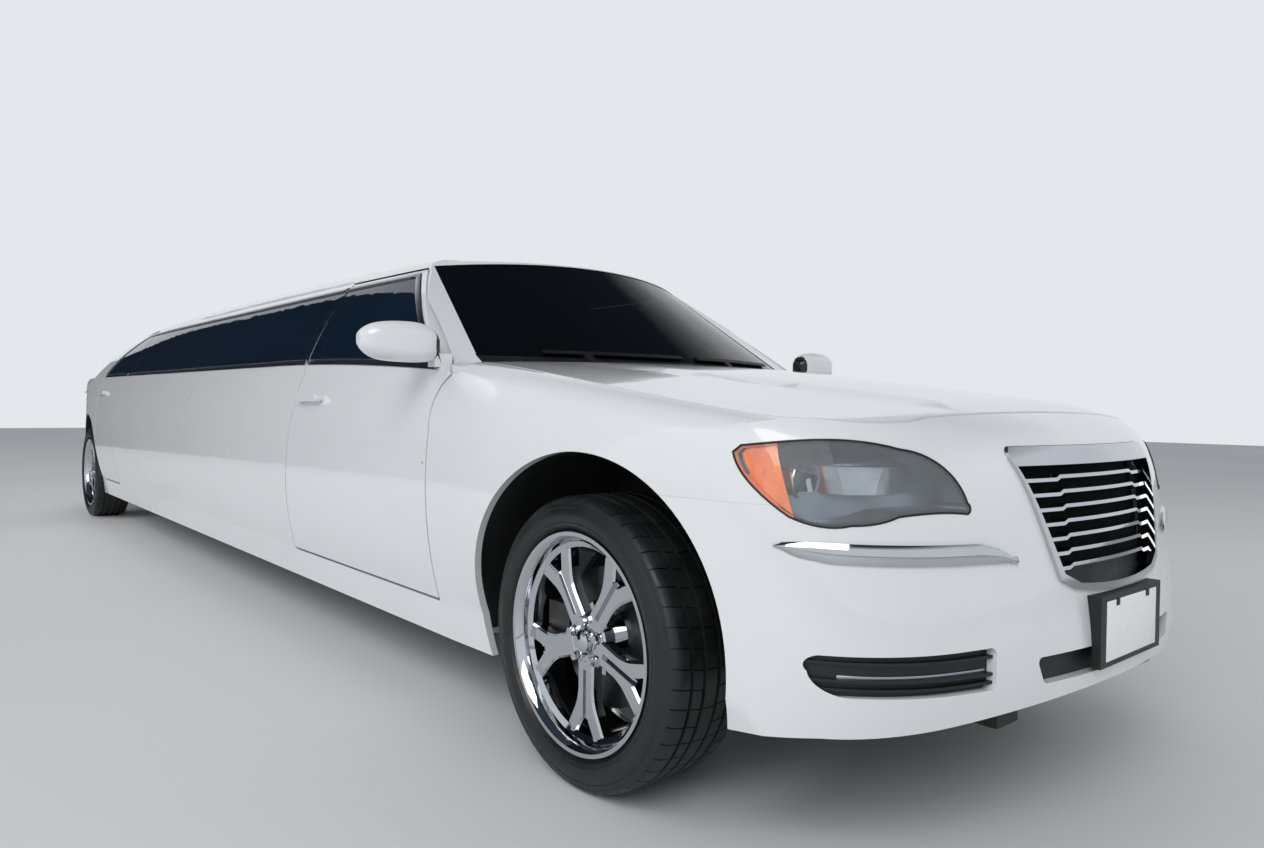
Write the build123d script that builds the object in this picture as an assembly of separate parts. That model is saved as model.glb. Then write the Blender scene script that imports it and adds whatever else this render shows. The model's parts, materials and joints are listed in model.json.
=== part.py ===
from build123d import *
import os
from functools import cache
from math import asin, cos, radians, sin, tan

# A stretched limousine as it stands on the road, in millimetres.
# x runs forward, y to the left, z up from the ground; x is nought at the middle of its length.

# Running gear
FRONT_AXLE_X = 3375.0
WHEELBASE = 6608.0
REAR_AXLE_X = FRONT_AXLE_X - WHEELBASE
TRACK = 1611.0
WHEEL_Y = TRACK / 2.0
TYRE_RADIUS = 361.0
TYRE_WIDTH = 250.0
BEAD_RADIUS = 254.0
FLANGE_RADIUS = 272.0
RIM_WIDTH = 232.0
FLANGE_THICK = 12.0
HUB_RADIUS = 70.0
HUB_FACE = 78.0
SPOKE_COUNT = 5
SPOKE_FACE = 80.0
SPOKE_THICK = 30.0
SPOKE_EDGE = 5.0
GROOVE_WIDTH = 13.0
GROOVE_DEPTH = 9.0
NUT_RING = 52.0
NUT_RADIUS = 11.0
NUT_HEIGHT = 16.0
CAP_RADIUS = 30.0
SPINDLE_RADIUS = 30.0
SPINDLE_CLEAR = 0.3
KINGPIN_Y = 752.0
STEER_OUT = KINGPIN_Y - WHEEL_Y
STUD_RADIUS = 10.0
STUD_CLEAR = 0.3
DISC_RADIUS = 176.0

# Body
SILL_Z = 225.0
CREASE_Z = 345.0
ARCH_RADIUS = 462.0
ARCH_Z = 368.0
PANEL_GAP = 8.0
SKIN = 22.0
WALL = 90.0
DOOR_SKIN = 24.0
DOOR_SET_IN = 14.0
CABIN_WALL = 42.0
GLASS_THICK = 5.0
FLOOR_Z = 262.0
FLOOR_THICK = 26.0
BOOT_FLOOR_Z = 470.0
TUNNEL_HALF = 126.0
TUNNEL_TOP = 420.0
SHAFT_Z = 340.0
ENGINE_Z = 300.0
RAIL_Z = 271.0

# Nose and tail in plan
NOSE_RADIUS = 1800.0
NOSE_HALF = 580.0
NOSE_CORNER = 430.0
NOSE_FLARE = 8.0
TAIL_RADIUS = 2600.0
TAIL_HALF = 560.0
TAIL_CORNER = 380.0
TAIL_FLARE = 8.0
PLAN_HALF = 1000.0
PILLAR_SWEEP = 60.0

# Hinges and seats
FRONT_DOOR_PIVOT_X = FRONT_AXLE_X - 756.0
REAR_DOOR_PIVOT_X = REAR_AXLE_X + 1053.0
DOOR_PIVOT_Y = 936.0
HINGE_Z = 730.0
HINGE_HALF = 30.0
HINGE_LEAF = 12.0
HINGE_PIN = 5.0
HINGE_CLEAR = 0.3
SEAM = 0.3
WIPER_Z = 1120.0
WIPER_THICK = 9.0
HOOD_SKIN = 12.0

# Nose details
DOME_SLOPE = 46.0
LENS_THICK = 4.0
LAMP_RIM = 7.0
PROJECTOR_RADIUS = 43.0
BAR_COUNT = 7
BAR_STEP = 6.0
BAR_STEP_Y = 192.0
BAR_HEIGHT = 8.0
BAR_SET_BACK = 8.0
TRIM_PROUD = 8.0
INSERT_BACK = 32.0


def at_front(x):
    return FRONT_AXLE_X + x


def at_rear(x):
    return REAR_AXLE_X + x


def outline(start, *steps):
    """Closed flat face; a step is an end point, or an arc's middle and end points."""
    edges = []
    here = start
    for step in steps:
        if len(step) == 4:
            edges.append(ThreePointArc(here, step[0:2], step[2:4]))
        else:
            edges.append(Line(here, step))
        here = step[-2:]
    if abs(here[0] - start[0]) + abs(here[1] - start[1]) > 0.001:
        edges.append(Line(here, start))
    return make_face(edges)


def side_prism(face, low=0.0, high=1300.0):
    """A side-view face made a prism on the right side, from y = -low to y = -high."""
    return extrude(Plane.XZ.offset(low) * face, amount=high - low)


def plan_prism(face, low, high):
    return extrude(Plane.XY.offset(low) * face, amount=high - low)


def front_prism(face, low, high):
    return extrude(Plane.YZ.offset(low) * face, amount=high - low)


def block(x0, x1, y0, y1, z0, z1):
    size = (abs(x1 - x0), abs(y1 - y0), abs(z1 - z0))
    return Pos((x0 + x1) / 2, (y0 + y1) / 2, (z0 + z1) / 2) * Box(*size)


def across(x, z, radius, y0, y1):
    """A cylinder lying along y."""
    return Pos(x, (y0 + y1) / 2, z) * Rot(90, 0, 0) * Cylinder(radius, abs(y1 - y0))


def both_sides(part):
    return part + mirror(part, about=Plane.XZ)


# Lower body: x, sill y, crease y, widest y, widest z, belt y, belt z, shoulder y, shoulder z, centre z
FRONT_ROWS = (
    (at_front(960), 790, 815, 872, 640, 800, 850, 690, 890, 912),
    (at_front(500), 835, 868, 915, 640, 862, 872, 770, 925, 982),
    (at_front(0), 865, 893, 944, 690, 888, 938, 800, 992, 1042),
    (at_front(-640), 885, 904, 948, 720, 884, 1035, 800, 1072, 1098),
)
MIDDLE_ROWS = (
    FRONT_ROWS[-1],
    (at_front(-1900), 885, 904, 944, 720, 858, 1094, 790, 1120, 1130),
    (at_rear(1500), 885, 904, 944, 720, 852, 1108, 790, 1130, 1140),
    (at_rear(230), 885, 904, 950, 730, 845, 1118, 775, 1150, 1160),
)
REAR_ROWS = (
    MIDDLE_ROWS[-1],
    (at_rear(-300), 868, 893, 951, 740, 842, 1122, 765, 1160, 1178),
    (at_rear(-800), 842, 868, 926, 740, 826, 1114, 745, 1152, 1172),
    (at_rear(-1120), 800, 826, 886, 740, 790, 1100, 715, 1132, 1150),
)

# Raised middle of the hood: x, half width, height
DOME_ROWS = (
    (at_front(960), 335, 11),
    (at_front(500), 372, 11),
    (at_front(0), 436, 10),
    (at_front(-600), 492, 1),
)

# Cabin above the belt: x, rail y, rail z, roof edge y, roof edge z, centre z
CABIN_ROWS = (
    (at_front(-300), 565, 1380, 440, 1428, 1442),
    (at_front(-1150), 640, 1432, 510, 1484, 1501),
    (at_front(-1900), 655, 1452, 530, 1506, 1524),
    (at_rear(1500), 655, 1452, 530, 1506, 1524),
    (at_rear(500), 630, 1428, 505, 1482, 1500),
    (at_rear(-500), 565, 1366, 440, 1414, 1428),
)

# Nose outline against height: z, x ahead of the front axle
NOSE_ROWS = ((150, 888), (300, 905), (450, 912), (600, 892), (865, 826), (950, 706), (1100, 400))

# Tail outline against height: z, x from the rear axle
TAIL_ROWS = ((150, -1010), (420, -1064), (700, -1054), (960, -1006), (1300, -930))

# Screens against height: z, centre x, corner x, corner y
SCREEN_ROWS = ((1000, -424, -633, 777), (1540, -1197, -1428, 591))
BACKLIGHT_ROWS = ((1000, -695, -566, 757), (1540, 534, 633, 569))


def body_section(row, inset, open_bottom):
    x, sill, crease, wide, wide_z, belt, belt_z, shoulder, shoulder_z, top = row
    low = SILL_Z + inset
    crease_z = CREASE_Z + inset
    if open_bottom:
        low = SILL_Z - 20.0
        crease_z = CREASE_Z
    sill = sill - inset
    crease = crease - inset
    wide = wide - inset
    belt = belt - inset
    shoulder = shoulder - inset
    belt_z = belt_z - inset
    shoulder_z = shoulder_z - inset
    top = top - inset
    bulge = ((belt + shoulder) / 2 + 8, (belt_z + shoulder_z) / 2 + 8)
    face = outline(
        (-sill, low),
        (sill, low),
        (crease, crease_z),
        (wide, wide_z, belt, belt_z),
        (bulge[0], bulge[1], shoulder, shoulder_z),
        (0.0, top, -shoulder, shoulder_z),
        (-bulge[0], bulge[1], -belt, belt_z),
        (-wide, wide_z, -crease, crease_z),
        (-sill, low),
    )
    return Plane.YZ.offset(x) * face


def end_section(z, tip, radius, half, corner, flare_angle, back_x):
    """Outline of one end of the body in plan at one height; tip is its foremost or rearmost x."""
    way = 1.0 if tip > back_x else -1.0
    lean = asin(half / radius)
    back = radius * (1 - cos(lean))
    flare = radians(flare_angle)
    corner_y = half - corner * sin(lean)
    corner_x = back + corner * cos(lean)
    middle = (lean + radians(90) - flare) / 2
    p0 = (tip - way * back, half)
    p1 = (tip - way * (corner_x - corner * cos(middle)), corner_y + corner * sin(middle))
    p2 = (tip - way * (corner_x - corner * sin(flare)), corner_y + corner * cos(flare))
    p3 = (p2[0] - way * (PLAN_HALF - p2[1]) / tan(flare), PLAN_HALF)
    face = outline(
        (p0[0], -p0[1]),
        (tip, 0.0, p0[0], p0[1]),
        (p1[0], p1[1], p2[0], p2[1]),
        p3,
        (back_x, PLAN_HALF),
        (back_x, -PLAN_HALF),
        (p3[0], -p3[1]),
        (p2[0], -p2[1]),
        (p1[0], -p1[1], p0[0], -p0[1]),
    )
    return (Plane.XY.offset(z) * face).face()


def deck_height(x, y):
    """Height of the hood's smooth surface, between the rows of the front table."""
    rows = FRONT_ROWS
    for ahead, behind in zip(rows, rows[1:]):
        if x >= behind[0]:
            break
    share = (x - behind[0]) / (ahead[0] - behind[0])
    shoulder_y, shoulder_z, top = (behind[i] + share * (ahead[i] - behind[i]) for i in (7, 8, 9))
    return top - (top - shoulder_z) * (y / shoulder_y) ** 2


def dome_form(inset):
    faces = []
    for x, half, height in DOME_ROWS:
        foot = half + DOME_SLOPE
        mid_z = deck_height(x, 0.0) + height - inset
        edge_z = deck_height(x, half) + height - inset
        foot_z = deck_height(x, foot) - inset - 1.0
        face = outline(
            (-foot, foot_z - 60.0),
            (foot, foot_z - 60.0),
            (foot, foot_z),
            (half, edge_z),
            (0.0, mid_z, -half, edge_z),
            (-foot, foot_z),
        )
        faces.append((Plane.YZ.offset(x) * face).face())
    return loft(faces)


@cache
def front_form(inset, open_bottom=False):
    sides = loft([body_section(row, inset, open_bottom).face() for row in FRONT_ROWS]) + dome_form(inset)
    plans = []
    for z, tip in NOSE_ROWS:
        tip_x = at_front(tip) - inset
        plans.append(end_section(z, tip_x, NOSE_RADIUS, NOSE_HALF, NOSE_CORNER, NOSE_FLARE, at_front(-1400)))
    return sides & loft(plans)


@cache
def middle_form(inset, open_bottom=False):
    return loft([body_section(row, inset, open_bottom).face() for row in MIDDLE_ROWS], ruled=True)


@cache
def rear_form(inset, open_bottom=False):
    sides = loft([body_section(row, inset, open_bottom).face() for row in REAR_ROWS])
    plans = []
    for z, tip in TAIL_ROWS:
        tip_x = at_rear(tip) + inset
        plans.append(end_section(z, tip_x, TAIL_RADIUS, TAIL_HALF, TAIL_CORNER, TAIL_FLARE, at_rear(1400)))
    return sides & loft(plans)


@cache
def cabin_form(inset):
    drop = inset * 1.1
    faces = []
    for x, rail, rail_z, edge, edge_z, top in CABIN_ROWS:
        rail = rail - inset
        rail_z = rail_z - drop
        edge = edge - inset
        edge_z = edge_z - drop
        top = top - drop
        round_y = (rail + edge) / 2 + 26
        round_z = (rail_z + edge_z) / 2 + 13
        face = outline(
            (-892 + drop, 990.0),
            (892 - drop, 990.0),
            (800 - drop, 1236.0, rail, rail_z),
            (round_y, round_z, edge, edge_z),
            (0.0, top, -edge, edge_z),
            (-round_y, round_z, -rail, rail_z),
            (-800 + drop, 1236.0, -892 + drop, 990.0),
        )
        faces.append((Plane.YZ.offset(x) * face).face())
    shell = loft(faces)
    plans = []
    for front, rear in zip(SCREEN_ROWS, BACKLIGHT_ROWS):
        z, centre, corner, half = front
        _, rear_centre, rear_corner, rear_half = rear
        front_drop = inset * 2.1
        rear_drop = inset * 2.4
        centre = at_front(centre) - front_drop
        corner = at_front(corner) - front_drop
        rear_centre = at_rear(rear_centre) + rear_drop
        rear_corner = at_rear(rear_corner) + rear_drop
        face = outline(
            (corner, -half),
            (centre, 0.0, corner, half),
            (corner - PILLAR_SWEEP, PLAN_HALF),
            (rear_corner + 260.0, PLAN_HALF),
            (rear_corner, rear_half),
            (rear_centre, 0.0, rear_corner, -rear_half),
            (rear_corner + 260.0, -PLAN_HALF),
            (corner - PILLAR_SWEEP, -PLAN_HALF),
        )
        plans.append((Plane.XY.offset(z) * face).face())
    return shell & loft(plans, ruled=True)


# Outlines seen from the side, from the front and from above
def front_door_outline():
    return outline(
        (at_front(-720), 345),
        (at_front(-724), 600, at_front(-748), 860),
        (at_front(-752), 960, at_front(-690), 1034),
        (at_front(-759), 1062),
        (at_front(-1051), 1264, at_front(-1330), 1449),
        (at_front(-1955), 1449),
        (at_front(-1955), 345),
    )


def rear_door_outline():
    return outline(
        (at_rear(1089), 345),
        (at_rear(1089), 1449),
        (at_rear(900), 1449),
        (at_rear(560), 1360, at_rear(244), 1122),
        (at_rear(250), 985),
        (at_rear(415), 720, at_rear(548), 345),
    )


def window_band_outline():
    return outline(
        (at_front(-778), 1056),
        (at_front(-1068), 1256, at_front(-1350), 1438),
        (at_rear(880), 1440),
        (at_rear(565), 1348, at_rear(268), 1132),
        (at_front(-2300), 1110),
        (at_front(-1450), 1092, at_front(-778), 1056),
    )


def front_window_hole():
    return outline(
        (at_front(-874), 1097),
        (at_front(-1112), 1262, at_front(-1392), 1414),
        (at_front(-1850), 1416),
        (at_front(-1790), 1120),
        (at_front(-1400), 1108, at_front(-874), 1097),
    )


def rear_window_hole():
    return outline(
        (at_rear(1045), 1136),
        (at_rear(1045), 1414),
        (at_rear(860), 1414),
        (at_rear(600), 1330, at_rear(352), 1150),
    )


def stretch_window_hole():
    return outline(
        (at_front(-2070), 1132),
        (at_front(-2070), 1414),
        (at_rear(1220), 1414),
        (at_rear(1220), 1136),
    )


def screen_outline():
    return outline(
        (-742, 1101),
        (-617, 1464),
        (0, 1496, 617, 1464),
        (742, 1101),
    )


def backlight_outline():
    return outline(
        (-690, 1182),
        (-570, 1440),
        (0, 1478, 570, 1440),
        (690, 1182),
    )


def hood_outline():
    return outline(
        (at_front(-690), -788),
        (at_front(-508), 0, at_front(-690), 788),
        (at_front(-100), 803, at_front(430), 782),
        (at_front(600), 704, at_front(682), 500),
        (at_front(726), 0, at_front(682), -500),
        (at_front(600), -704, at_front(430), -782),
        (at_front(-100), -803, at_front(-690), -788),
    )


def boot_outline():
    return outline(
        (at_rear(-362), -620),
        (at_rear(-362), 620),
        (at_rear(-1150), 600),
        (at_rear(-1150), -600),
    )


def lamp_outline():
    return outline(
        (-845, 864),
        (-740, 879, -631, 861),
        (-560, 832, -512, 752),
        (-509, 735, -524, 731),
        (-620, 733, -668, 728),
        (-700, 716, -745, 710),
        (-790, 708, -818, 724),
        (-838, 760, -853, 850),
    )


def grille_outline(grow):
    return outline(
        (-346 - grow, 866 + grow),
        (346 + grow, 866 + grow),
        (363 + grow, 857 + grow, 365 + grow, 836),
        (270 + grow, 578),
        (213, 553 - grow),
        (0, 541 - grow, -213, 553 - grow),
        (-270 - grow, 578),
        (-365 - grow, 836),
        (-363 - grow, 857 + grow, -346 - grow, 866 + grow),
    )


def side_intake_outline():
    return outline(
        (-800, 455),
        (-500, 460),
        (-484, 456, -480, 440),
        (-482, 392),
        (-487, 379, -500, 375),
        (-760, 374),
        (-795, 386, -813, 422),
        (-814, 444, -800, 455),
    )


def middle_intake_outline():
    return outline(
        (-346, 425),
        (346, 425),
        (357, 420, 358, 408),
        (346, 380),
        (338, 370, 324, 367),
        (-324, 367),
        (-338, 370, -346, 380),
        (-358, 408),
        (-357, 420, -346, 425),
    )


def brow_outline():
    return outline(
        (-839, 664),
        (-829, 675, -806, 678),
        (-500, 672),
        (-446, 658, -400, 629),
        (-442, 627),
        (-780, 633),
        (-818, 643, -839, 664),
    )


def grille_opening():
    return outline((-354, 824), (354, 824), (255, 591), (200, 567), (0, 556, -200, 567), (-255, 591))


def tail_lamp_outline():
    return outline(
        (at_rear(-1100), 830),
        (at_rear(-1100), 1042),
        (at_rear(-700), 1052),
        (at_rear(-640), 1000),
        (at_rear(-760), 850),
    )


def flank_outline():
    """Front view of the space that a right side door or side window may take."""
    return outline((-1200, 300), (-780, 300), (-780, 1075), (-628, 1462), (-628, 1600), (-1200, 1600))


def make_forms():
    forms = {}
    cabin = cabin_form(0.0)
    lining = cabin_form(CABIN_WALL)
    forms["front"] = front_form(0.0)
    forms["rear"] = rear_form(0.0)
    forms["middle"] = middle_form(0.0) + cabin
    forms["front_skin"] = front_form(SKIN, True)
    forms["rear_skin"] = rear_form(SKIN, True)
    forms["middle_skin"] = middle_form(SKIN, True) + lining
    forms["all"] = forms["middle"] + forms["front"] + forms["rear"]
    forms["all_skin"] = forms["middle_skin"] + forms["front_skin"] + forms["rear_skin"]
    forms["wall"] = middle_form(WALL) + lining
    forms["door"] = middle_form(DOOR_SKIN, True) + cabin_form(DOOR_SKIN)
    flank = front_prism(flank_outline(), at_rear(-1200), at_front(1000))
    band = side_prism(window_band_outline(), 400.0) & flank
    forms["band"] = (cabin & band) - cabin_form(GLASS_THICK)
    forms["flank"] = flank
    return forms


def make_doors(forms, parts):
    rows = (
        ("front_door", front_door_outline(), front_window_hole(), FRONT_DOOR_PIVOT_X),
        ("rear_door", rear_door_outline(), rear_window_hole(), REAR_DOOR_PIVOT_X),
    )
    for name, face, hole, pivot_x in rows:
        region = side_prism(face, 400.0) & forms["flank"]
        rim = side_prism(face - offset(face, -DOOR_SET_IN), 400.0)
        glass = forms["band"] & region
        cutters = [forms["wall"], forms["door"] & rim, side_prism(hole, 400.0), glass, hinge_pocket(pivot_x)]
        parts[name + "_right"] = (forms["middle"] & region) - cutters
        parts[name + "_glass_right"] = glass


def hinge_bracket(pivot_x, reach):
    """Two leaves and a pin for a right side door; reach is how far ahead the pillar lies."""
    low = HINGE_Z - HINGE_HALF
    pin = Pos(pivot_x, -DOOR_PIVOT_Y, HINGE_Z) * Cylinder(HINGE_PIN, 2 * HINGE_HALF)
    bracket = pin
    for z in (low, HINGE_Z + HINGE_HALF - HINGE_LEAF):
        knuckle = Pos(pivot_x, -DOOR_PIVOT_Y, z + HINGE_LEAF / 2) * Cylinder(7, HINGE_LEAF)
        neck = block(pivot_x - 5, pivot_x + 5, -DOOR_PIVOT_Y, -DOOR_PIVOT_Y + 66, z, z + HINGE_LEAF)
        leg = block(pivot_x - 5, pivot_x + reach, -DOOR_PIVOT_Y + 54, -DOOR_PIVOT_Y + 66, z, z + HINGE_LEAF)
        bracket = bracket + knuckle + neck + leg
    return bracket


def hinge_pocket(pivot_x):
    """Room in a right side door for its bracket, with the running bore for the pin."""
    low = HINGE_Z - HINGE_HALF
    pocket = Pos(pivot_x, -DOOR_PIVOT_Y, HINGE_Z) * Cylinder(HINGE_PIN + HINGE_CLEAR, 2 * HINGE_HALF + 8)
    for z in (low, HINGE_Z + HINGE_HALF - HINGE_LEAF):
        room = Pos(pivot_x, -DOOR_PIVOT_Y, z + HINGE_LEAF / 2) * Cylinder(9, HINGE_LEAF + 8)
        swing = block(
            pivot_x - 12,
            pivot_x + 90,
            -DOOR_PIVOT_Y - 4,
            -DOOR_PIVOT_Y + 100,
            z - 5,
            z + HINGE_LEAF + 5,
        )
        pocket = pocket + room + swing
    return pocket


def door_openings():
    front = offset(front_door_outline(), PANEL_GAP)
    front = front + outline(
        (at_front(-1940), 1050),
        (at_front(-1963), 1050),
        (at_front(-1974), 1457),
        (at_front(-1940), 1457),
    )
    rear = offset(rear_door_outline(), PANEL_GAP)
    upper = rear & (Pos(at_rear(500), 1300) * Rectangle(1000, 400))
    rear = rear + Pos(-9.0, 0.0) * upper
    return front, rear


def make_sides(forms, parts):
    front_hole, rear_hole = door_openings()
    doors = side_prism(front_hole, 400.0) + side_prism(rear_hole, 400.0)
    front_arch = across(at_front(0), ARCH_Z, ARCH_RADIUS, -1200, -560)
    rear_arch = across(at_rear(0), ARCH_Z, ARCH_RADIUS, -1200, -560)
    boot_hole = plan_prism(offset(boot_outline(), PANEL_GAP), 742, 1300)
    screen = front_prism(screen_outline(), at_front(-1700), at_front(-300))
    backlight = front_prism(backlight_outline(), at_rear(-600), at_rear(800))
    tail_lamp = side_prism(offset(tail_lamp_outline(), SEAM), 560.0)
    hood_hole = plan_prism(offset(hood_outline(), PANEL_GAP), 700, 1300)

    side = forms["middle"] & block(at_rear(470), at_front(-654) - SEAM, -1000, -566, 200, 1600)
    strip = block(at_front(-800), at_front(-640), -1000, -800 + SEAM, 337 - SEAM, 1034 + SEAM)
    cutters = [
        forms["wall"],
        forms["band"],
        doors,
        screen,
        backlight,
        hood_hole,
        block(at_rear(400), at_front(-600), -700, -560, 200, 1000),
        block(at_front(-1000), at_front(-600), -744, -560, 900, 1106),
        strip - middle_form(SKIN + SEAM, True),
        front_arch,
        rear_arch,
        side_prism(stretch_window_hole(), 400.0),
    ]
    side = side - cutters
    stretch = forms["band"] & block(at_rear(1097), at_front(-1974), -1000, -400, 1000, 1600)
    side = side + [hinge_bracket(FRONT_DOOR_PIVOT_X, 40.0), hinge_bracket(REAR_DOOR_PIVOT_X, 56.0)]
    parts["body_side_right"] = side
    parts["stretch_glass_right"] = stretch

    upper = block(at_rear(-1200), at_rear(470) - SEAM, -1000, -566, 742, 1600)
    lower = block(at_rear(-560), at_rear(470) - SEAM, -1000, -640, 225, 742)
    quarter = (forms["all"] & (upper + lower)) - [forms["all_skin"], doors, boot_hole, backlight, tail_lamp]
    quarter = quarter - [rear_arch, forms["band"]]
    pad = block(at_rear(-720), at_rear(-690), -700, -632, 1110, 1200) & rear_form(SKIN - 2.0)
    pad = pad + (block(at_rear(-720), at_rear(-690), -650, -585, 1110, 1200) & rear_form(SKIN + SEAM))
    parts["rear_quarter_right"] = quarter + pad


def make_nose_and_tail(forms, parts):
    front_hole, _ = door_openings()
    door = side_prism(front_hole, 400.0)
    front_arch = across(at_front(0), ARCH_Z, ARCH_RADIUS, -1200, -560)
    rear_arch = across(at_rear(0), ARCH_Z, ARCH_RADIUS, -1200, -560)
    hood_hole = plan_prism(offset(hood_outline(), PANEL_GAP), 700, 1300)
    boot_hole = plan_prism(offset(boot_outline(), PANEL_GAP), 742, 1300)
    screen = front_prism(screen_outline(), at_front(-1700), at_front(-300))
    lamp = front_prism(offset(lamp_outline(), SEAM), at_front(440), at_front(1000))
    grille = front_prism(grille_outline(0.0), at_front(500), at_front(1000))

    fender_zone = block(at_front(-654), at_front(700), -1000, -640, 225, 1200)
    fender = forms["all"] & (fender_zone + block(at_front(-800), at_front(-640), -1000, -800, 337, 1034))
    cutters = [
        forms["all_skin"],
        door,
        hood_hole,
        lamp,
        front_arch,
        block(at_front(100), at_front(1000), -1001, 0, 200, 745),
        block(at_front(556), at_front(1000), -704, 0, 700, 1000),
        block(at_front(-700), at_front(-500), -744, -600, 900, 1200),
    ]
    parts["front_fender_right"] = fender - cutters

    low_zone = block(at_front(100), at_front(1000), -1000, 1000, 200, 745 - SEAM)
    nose_zone = block(at_front(556) + SEAM, at_front(1000), -704 + SEAM, 704 - SEAM, 700, 1000)
    bumper = forms["front"] & (low_zone + nose_zone)
    chin = outline(
        (at_front(50), 150),
        (at_front(50), 226),
        (at_front(408), 258),
        (at_front(646), 288),
        (at_front(805), 308, at_front(930), 344),
        (at_front(1000), 360),
        (at_front(1000), 150),
    )
    cutters = [
        forms["front_skin"],
        hood_hole,
        both_sides(lamp),
        grille,
        both_sides(front_arch),
        side_prism(chin, -1300.0),
        both_sides(front_prism(side_intake_outline(), at_front(500), at_front(1000))),
        front_prism(middle_intake_outline(), at_front(500), at_front(1000)),
    ]
    parts["front_bumper"] = bumper - cutters
    brow = front_form(-TRIM_PROUD) & front_prism(brow_outline(), at_front(400), at_front(1000))
    parts["brow_trims"] = both_sides(brow - forms["front"])

    rear_zone = block(at_rear(-1200), at_rear(-560) - SEAM, -1000, 1000, 225, 742 - SEAM)
    parts["rear_bumper"] = (forms["rear"] & rear_zone) - [forms["rear_skin"], both_sides(rear_arch)]

    cutters = [front_form(HOOD_SKIN, True), middle_form(HOOD_SKIN, True), cabin_form(0.0)]
    parts["hood"] = (forms["all"] & plan_prism(hood_outline(), 700, 1300)) - cutters
    boot = forms["rear"] & plan_prism(boot_outline(), 750, 1300)
    parts["boot_lid"] = boot - [forms["rear_skin"], cabin_form(0.0)]

    roof = forms["middle"] & block(at_rear(340), at_front(-1080), -566 + SEAM, 566 - SEAM, 1350, 1600)
    backlight = front_prism(backlight_outline(), at_rear(-600), at_rear(800))
    parts["roof"] = roof - [forms["wall"], screen, backlight]

    cowl_zone = block(at_front(-1000), at_front(-500), -744 + SEAM, 744 - SEAM, 1000, 1104)
    cowl = (forms["all"] & cowl_zone) - [forms["all_skin"], hood_hole, screen]
    wall = block(at_front(-640), at_front(-624), -735, 735, 300, 1020)
    wall = wall - block(at_front(-700), at_front(-600), -TUNNEL_HALF, TUNNEL_HALF, 200, TUNNEL_TOP)
    stops = block(at_front(-566), at_front(-550), -528, -512, 1000, 1090)
    stops = stops & front_form(HOOD_SKIN + SEAM, True)
    stops = both_sides(stops + block(at_front(-640), at_front(-550), -528, -512, 990, 1006))
    legs = block(at_front(-760), at_front(-740), -743, -600, 1000, 1070) & forms["all_skin"]
    legs = both_sides(legs + block(at_front(-760), at_front(-624), -743, -600, 1000, 1020))
    parts["cowl"] = cowl + [wall, stops, legs]

    parts["windshield"] = (cabin_form(2.0) & screen) - cabin_form(2.0 + GLASS_THICK)
    parts["rear_glass"] = (cabin_form(2.0) & backlight) - cabin_form(2.0 + GLASS_THICK)

    parts["headlamps"] = both_sides(make_headlamp(forms))
    tails = (forms["rear"] & side_prism(tail_lamp_outline(), 560.0)) - boot_hole
    parts["tail_lamps"] = both_sides(tails - rear_form(WALL))


def make_headlamp(forms):
    """Right lamp: a thin cover on a tub, with a projector, a reflector bowl and an amber block inside."""
    ends = (at_front(440), at_front(1000))
    lamp = (forms["front"] & front_prism(lamp_outline(), *ends)) - front_form(WALL)
    room = front_prism(offset(lamp_outline(), -LAMP_RIM), *ends)
    room = (front_form(LENS_THICK) & room) - front_form(WALL - 8.0)
    lamp = lamp - room
    place = Pos(at_front(506), -790, 795) * Rot(0, 90, 0)
    barrel = Cylinder(PROJECTOR_RADIUS, 60) - Pos(0, 0, 22) * Cylinder(PROJECTOR_RADIUS - 7, 40)
    barrel = place * barrel
    ball = Pos(at_front(516), -790, 795) * Sphere(PROJECTOR_RADIUS - 11)
    bowl = block(at_front(560), at_front(700), -745, -575, 770, 825)
    amber = block(at_front(440), at_front(560), -842, -822, 740, 850)
    inside = (bowl + amber) & room & front_form(BAR_SET_BACK)
    fitting = (barrel + ball) & front_form(BAR_SET_BACK) & front_prism(lamp_outline(), *ends)
    return lamp + fitting + inside


def grille_bar(z):
    """One stepped bar in front view; its middle stands higher than its ends."""
    low = z - BAR_HEIGHT / 2
    high = z + BAR_HEIGHT / 2
    slope = BAR_STEP_Y + 2.5 * BAR_STEP
    return outline(
        (-400, low - BAR_STEP),
        (-slope, low - BAR_STEP),
        (-BAR_STEP_Y, low),
        (BAR_STEP_Y, low),
        (slope, low - BAR_STEP),
        (400, low - BAR_STEP),
        (400, high - BAR_STEP),
        (slope, high - BAR_STEP),
        (BAR_STEP_Y, high),
        (-BAR_STEP_Y, high),
        (-slope, high - BAR_STEP),
        (-400, high - BAR_STEP),
    )


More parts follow.
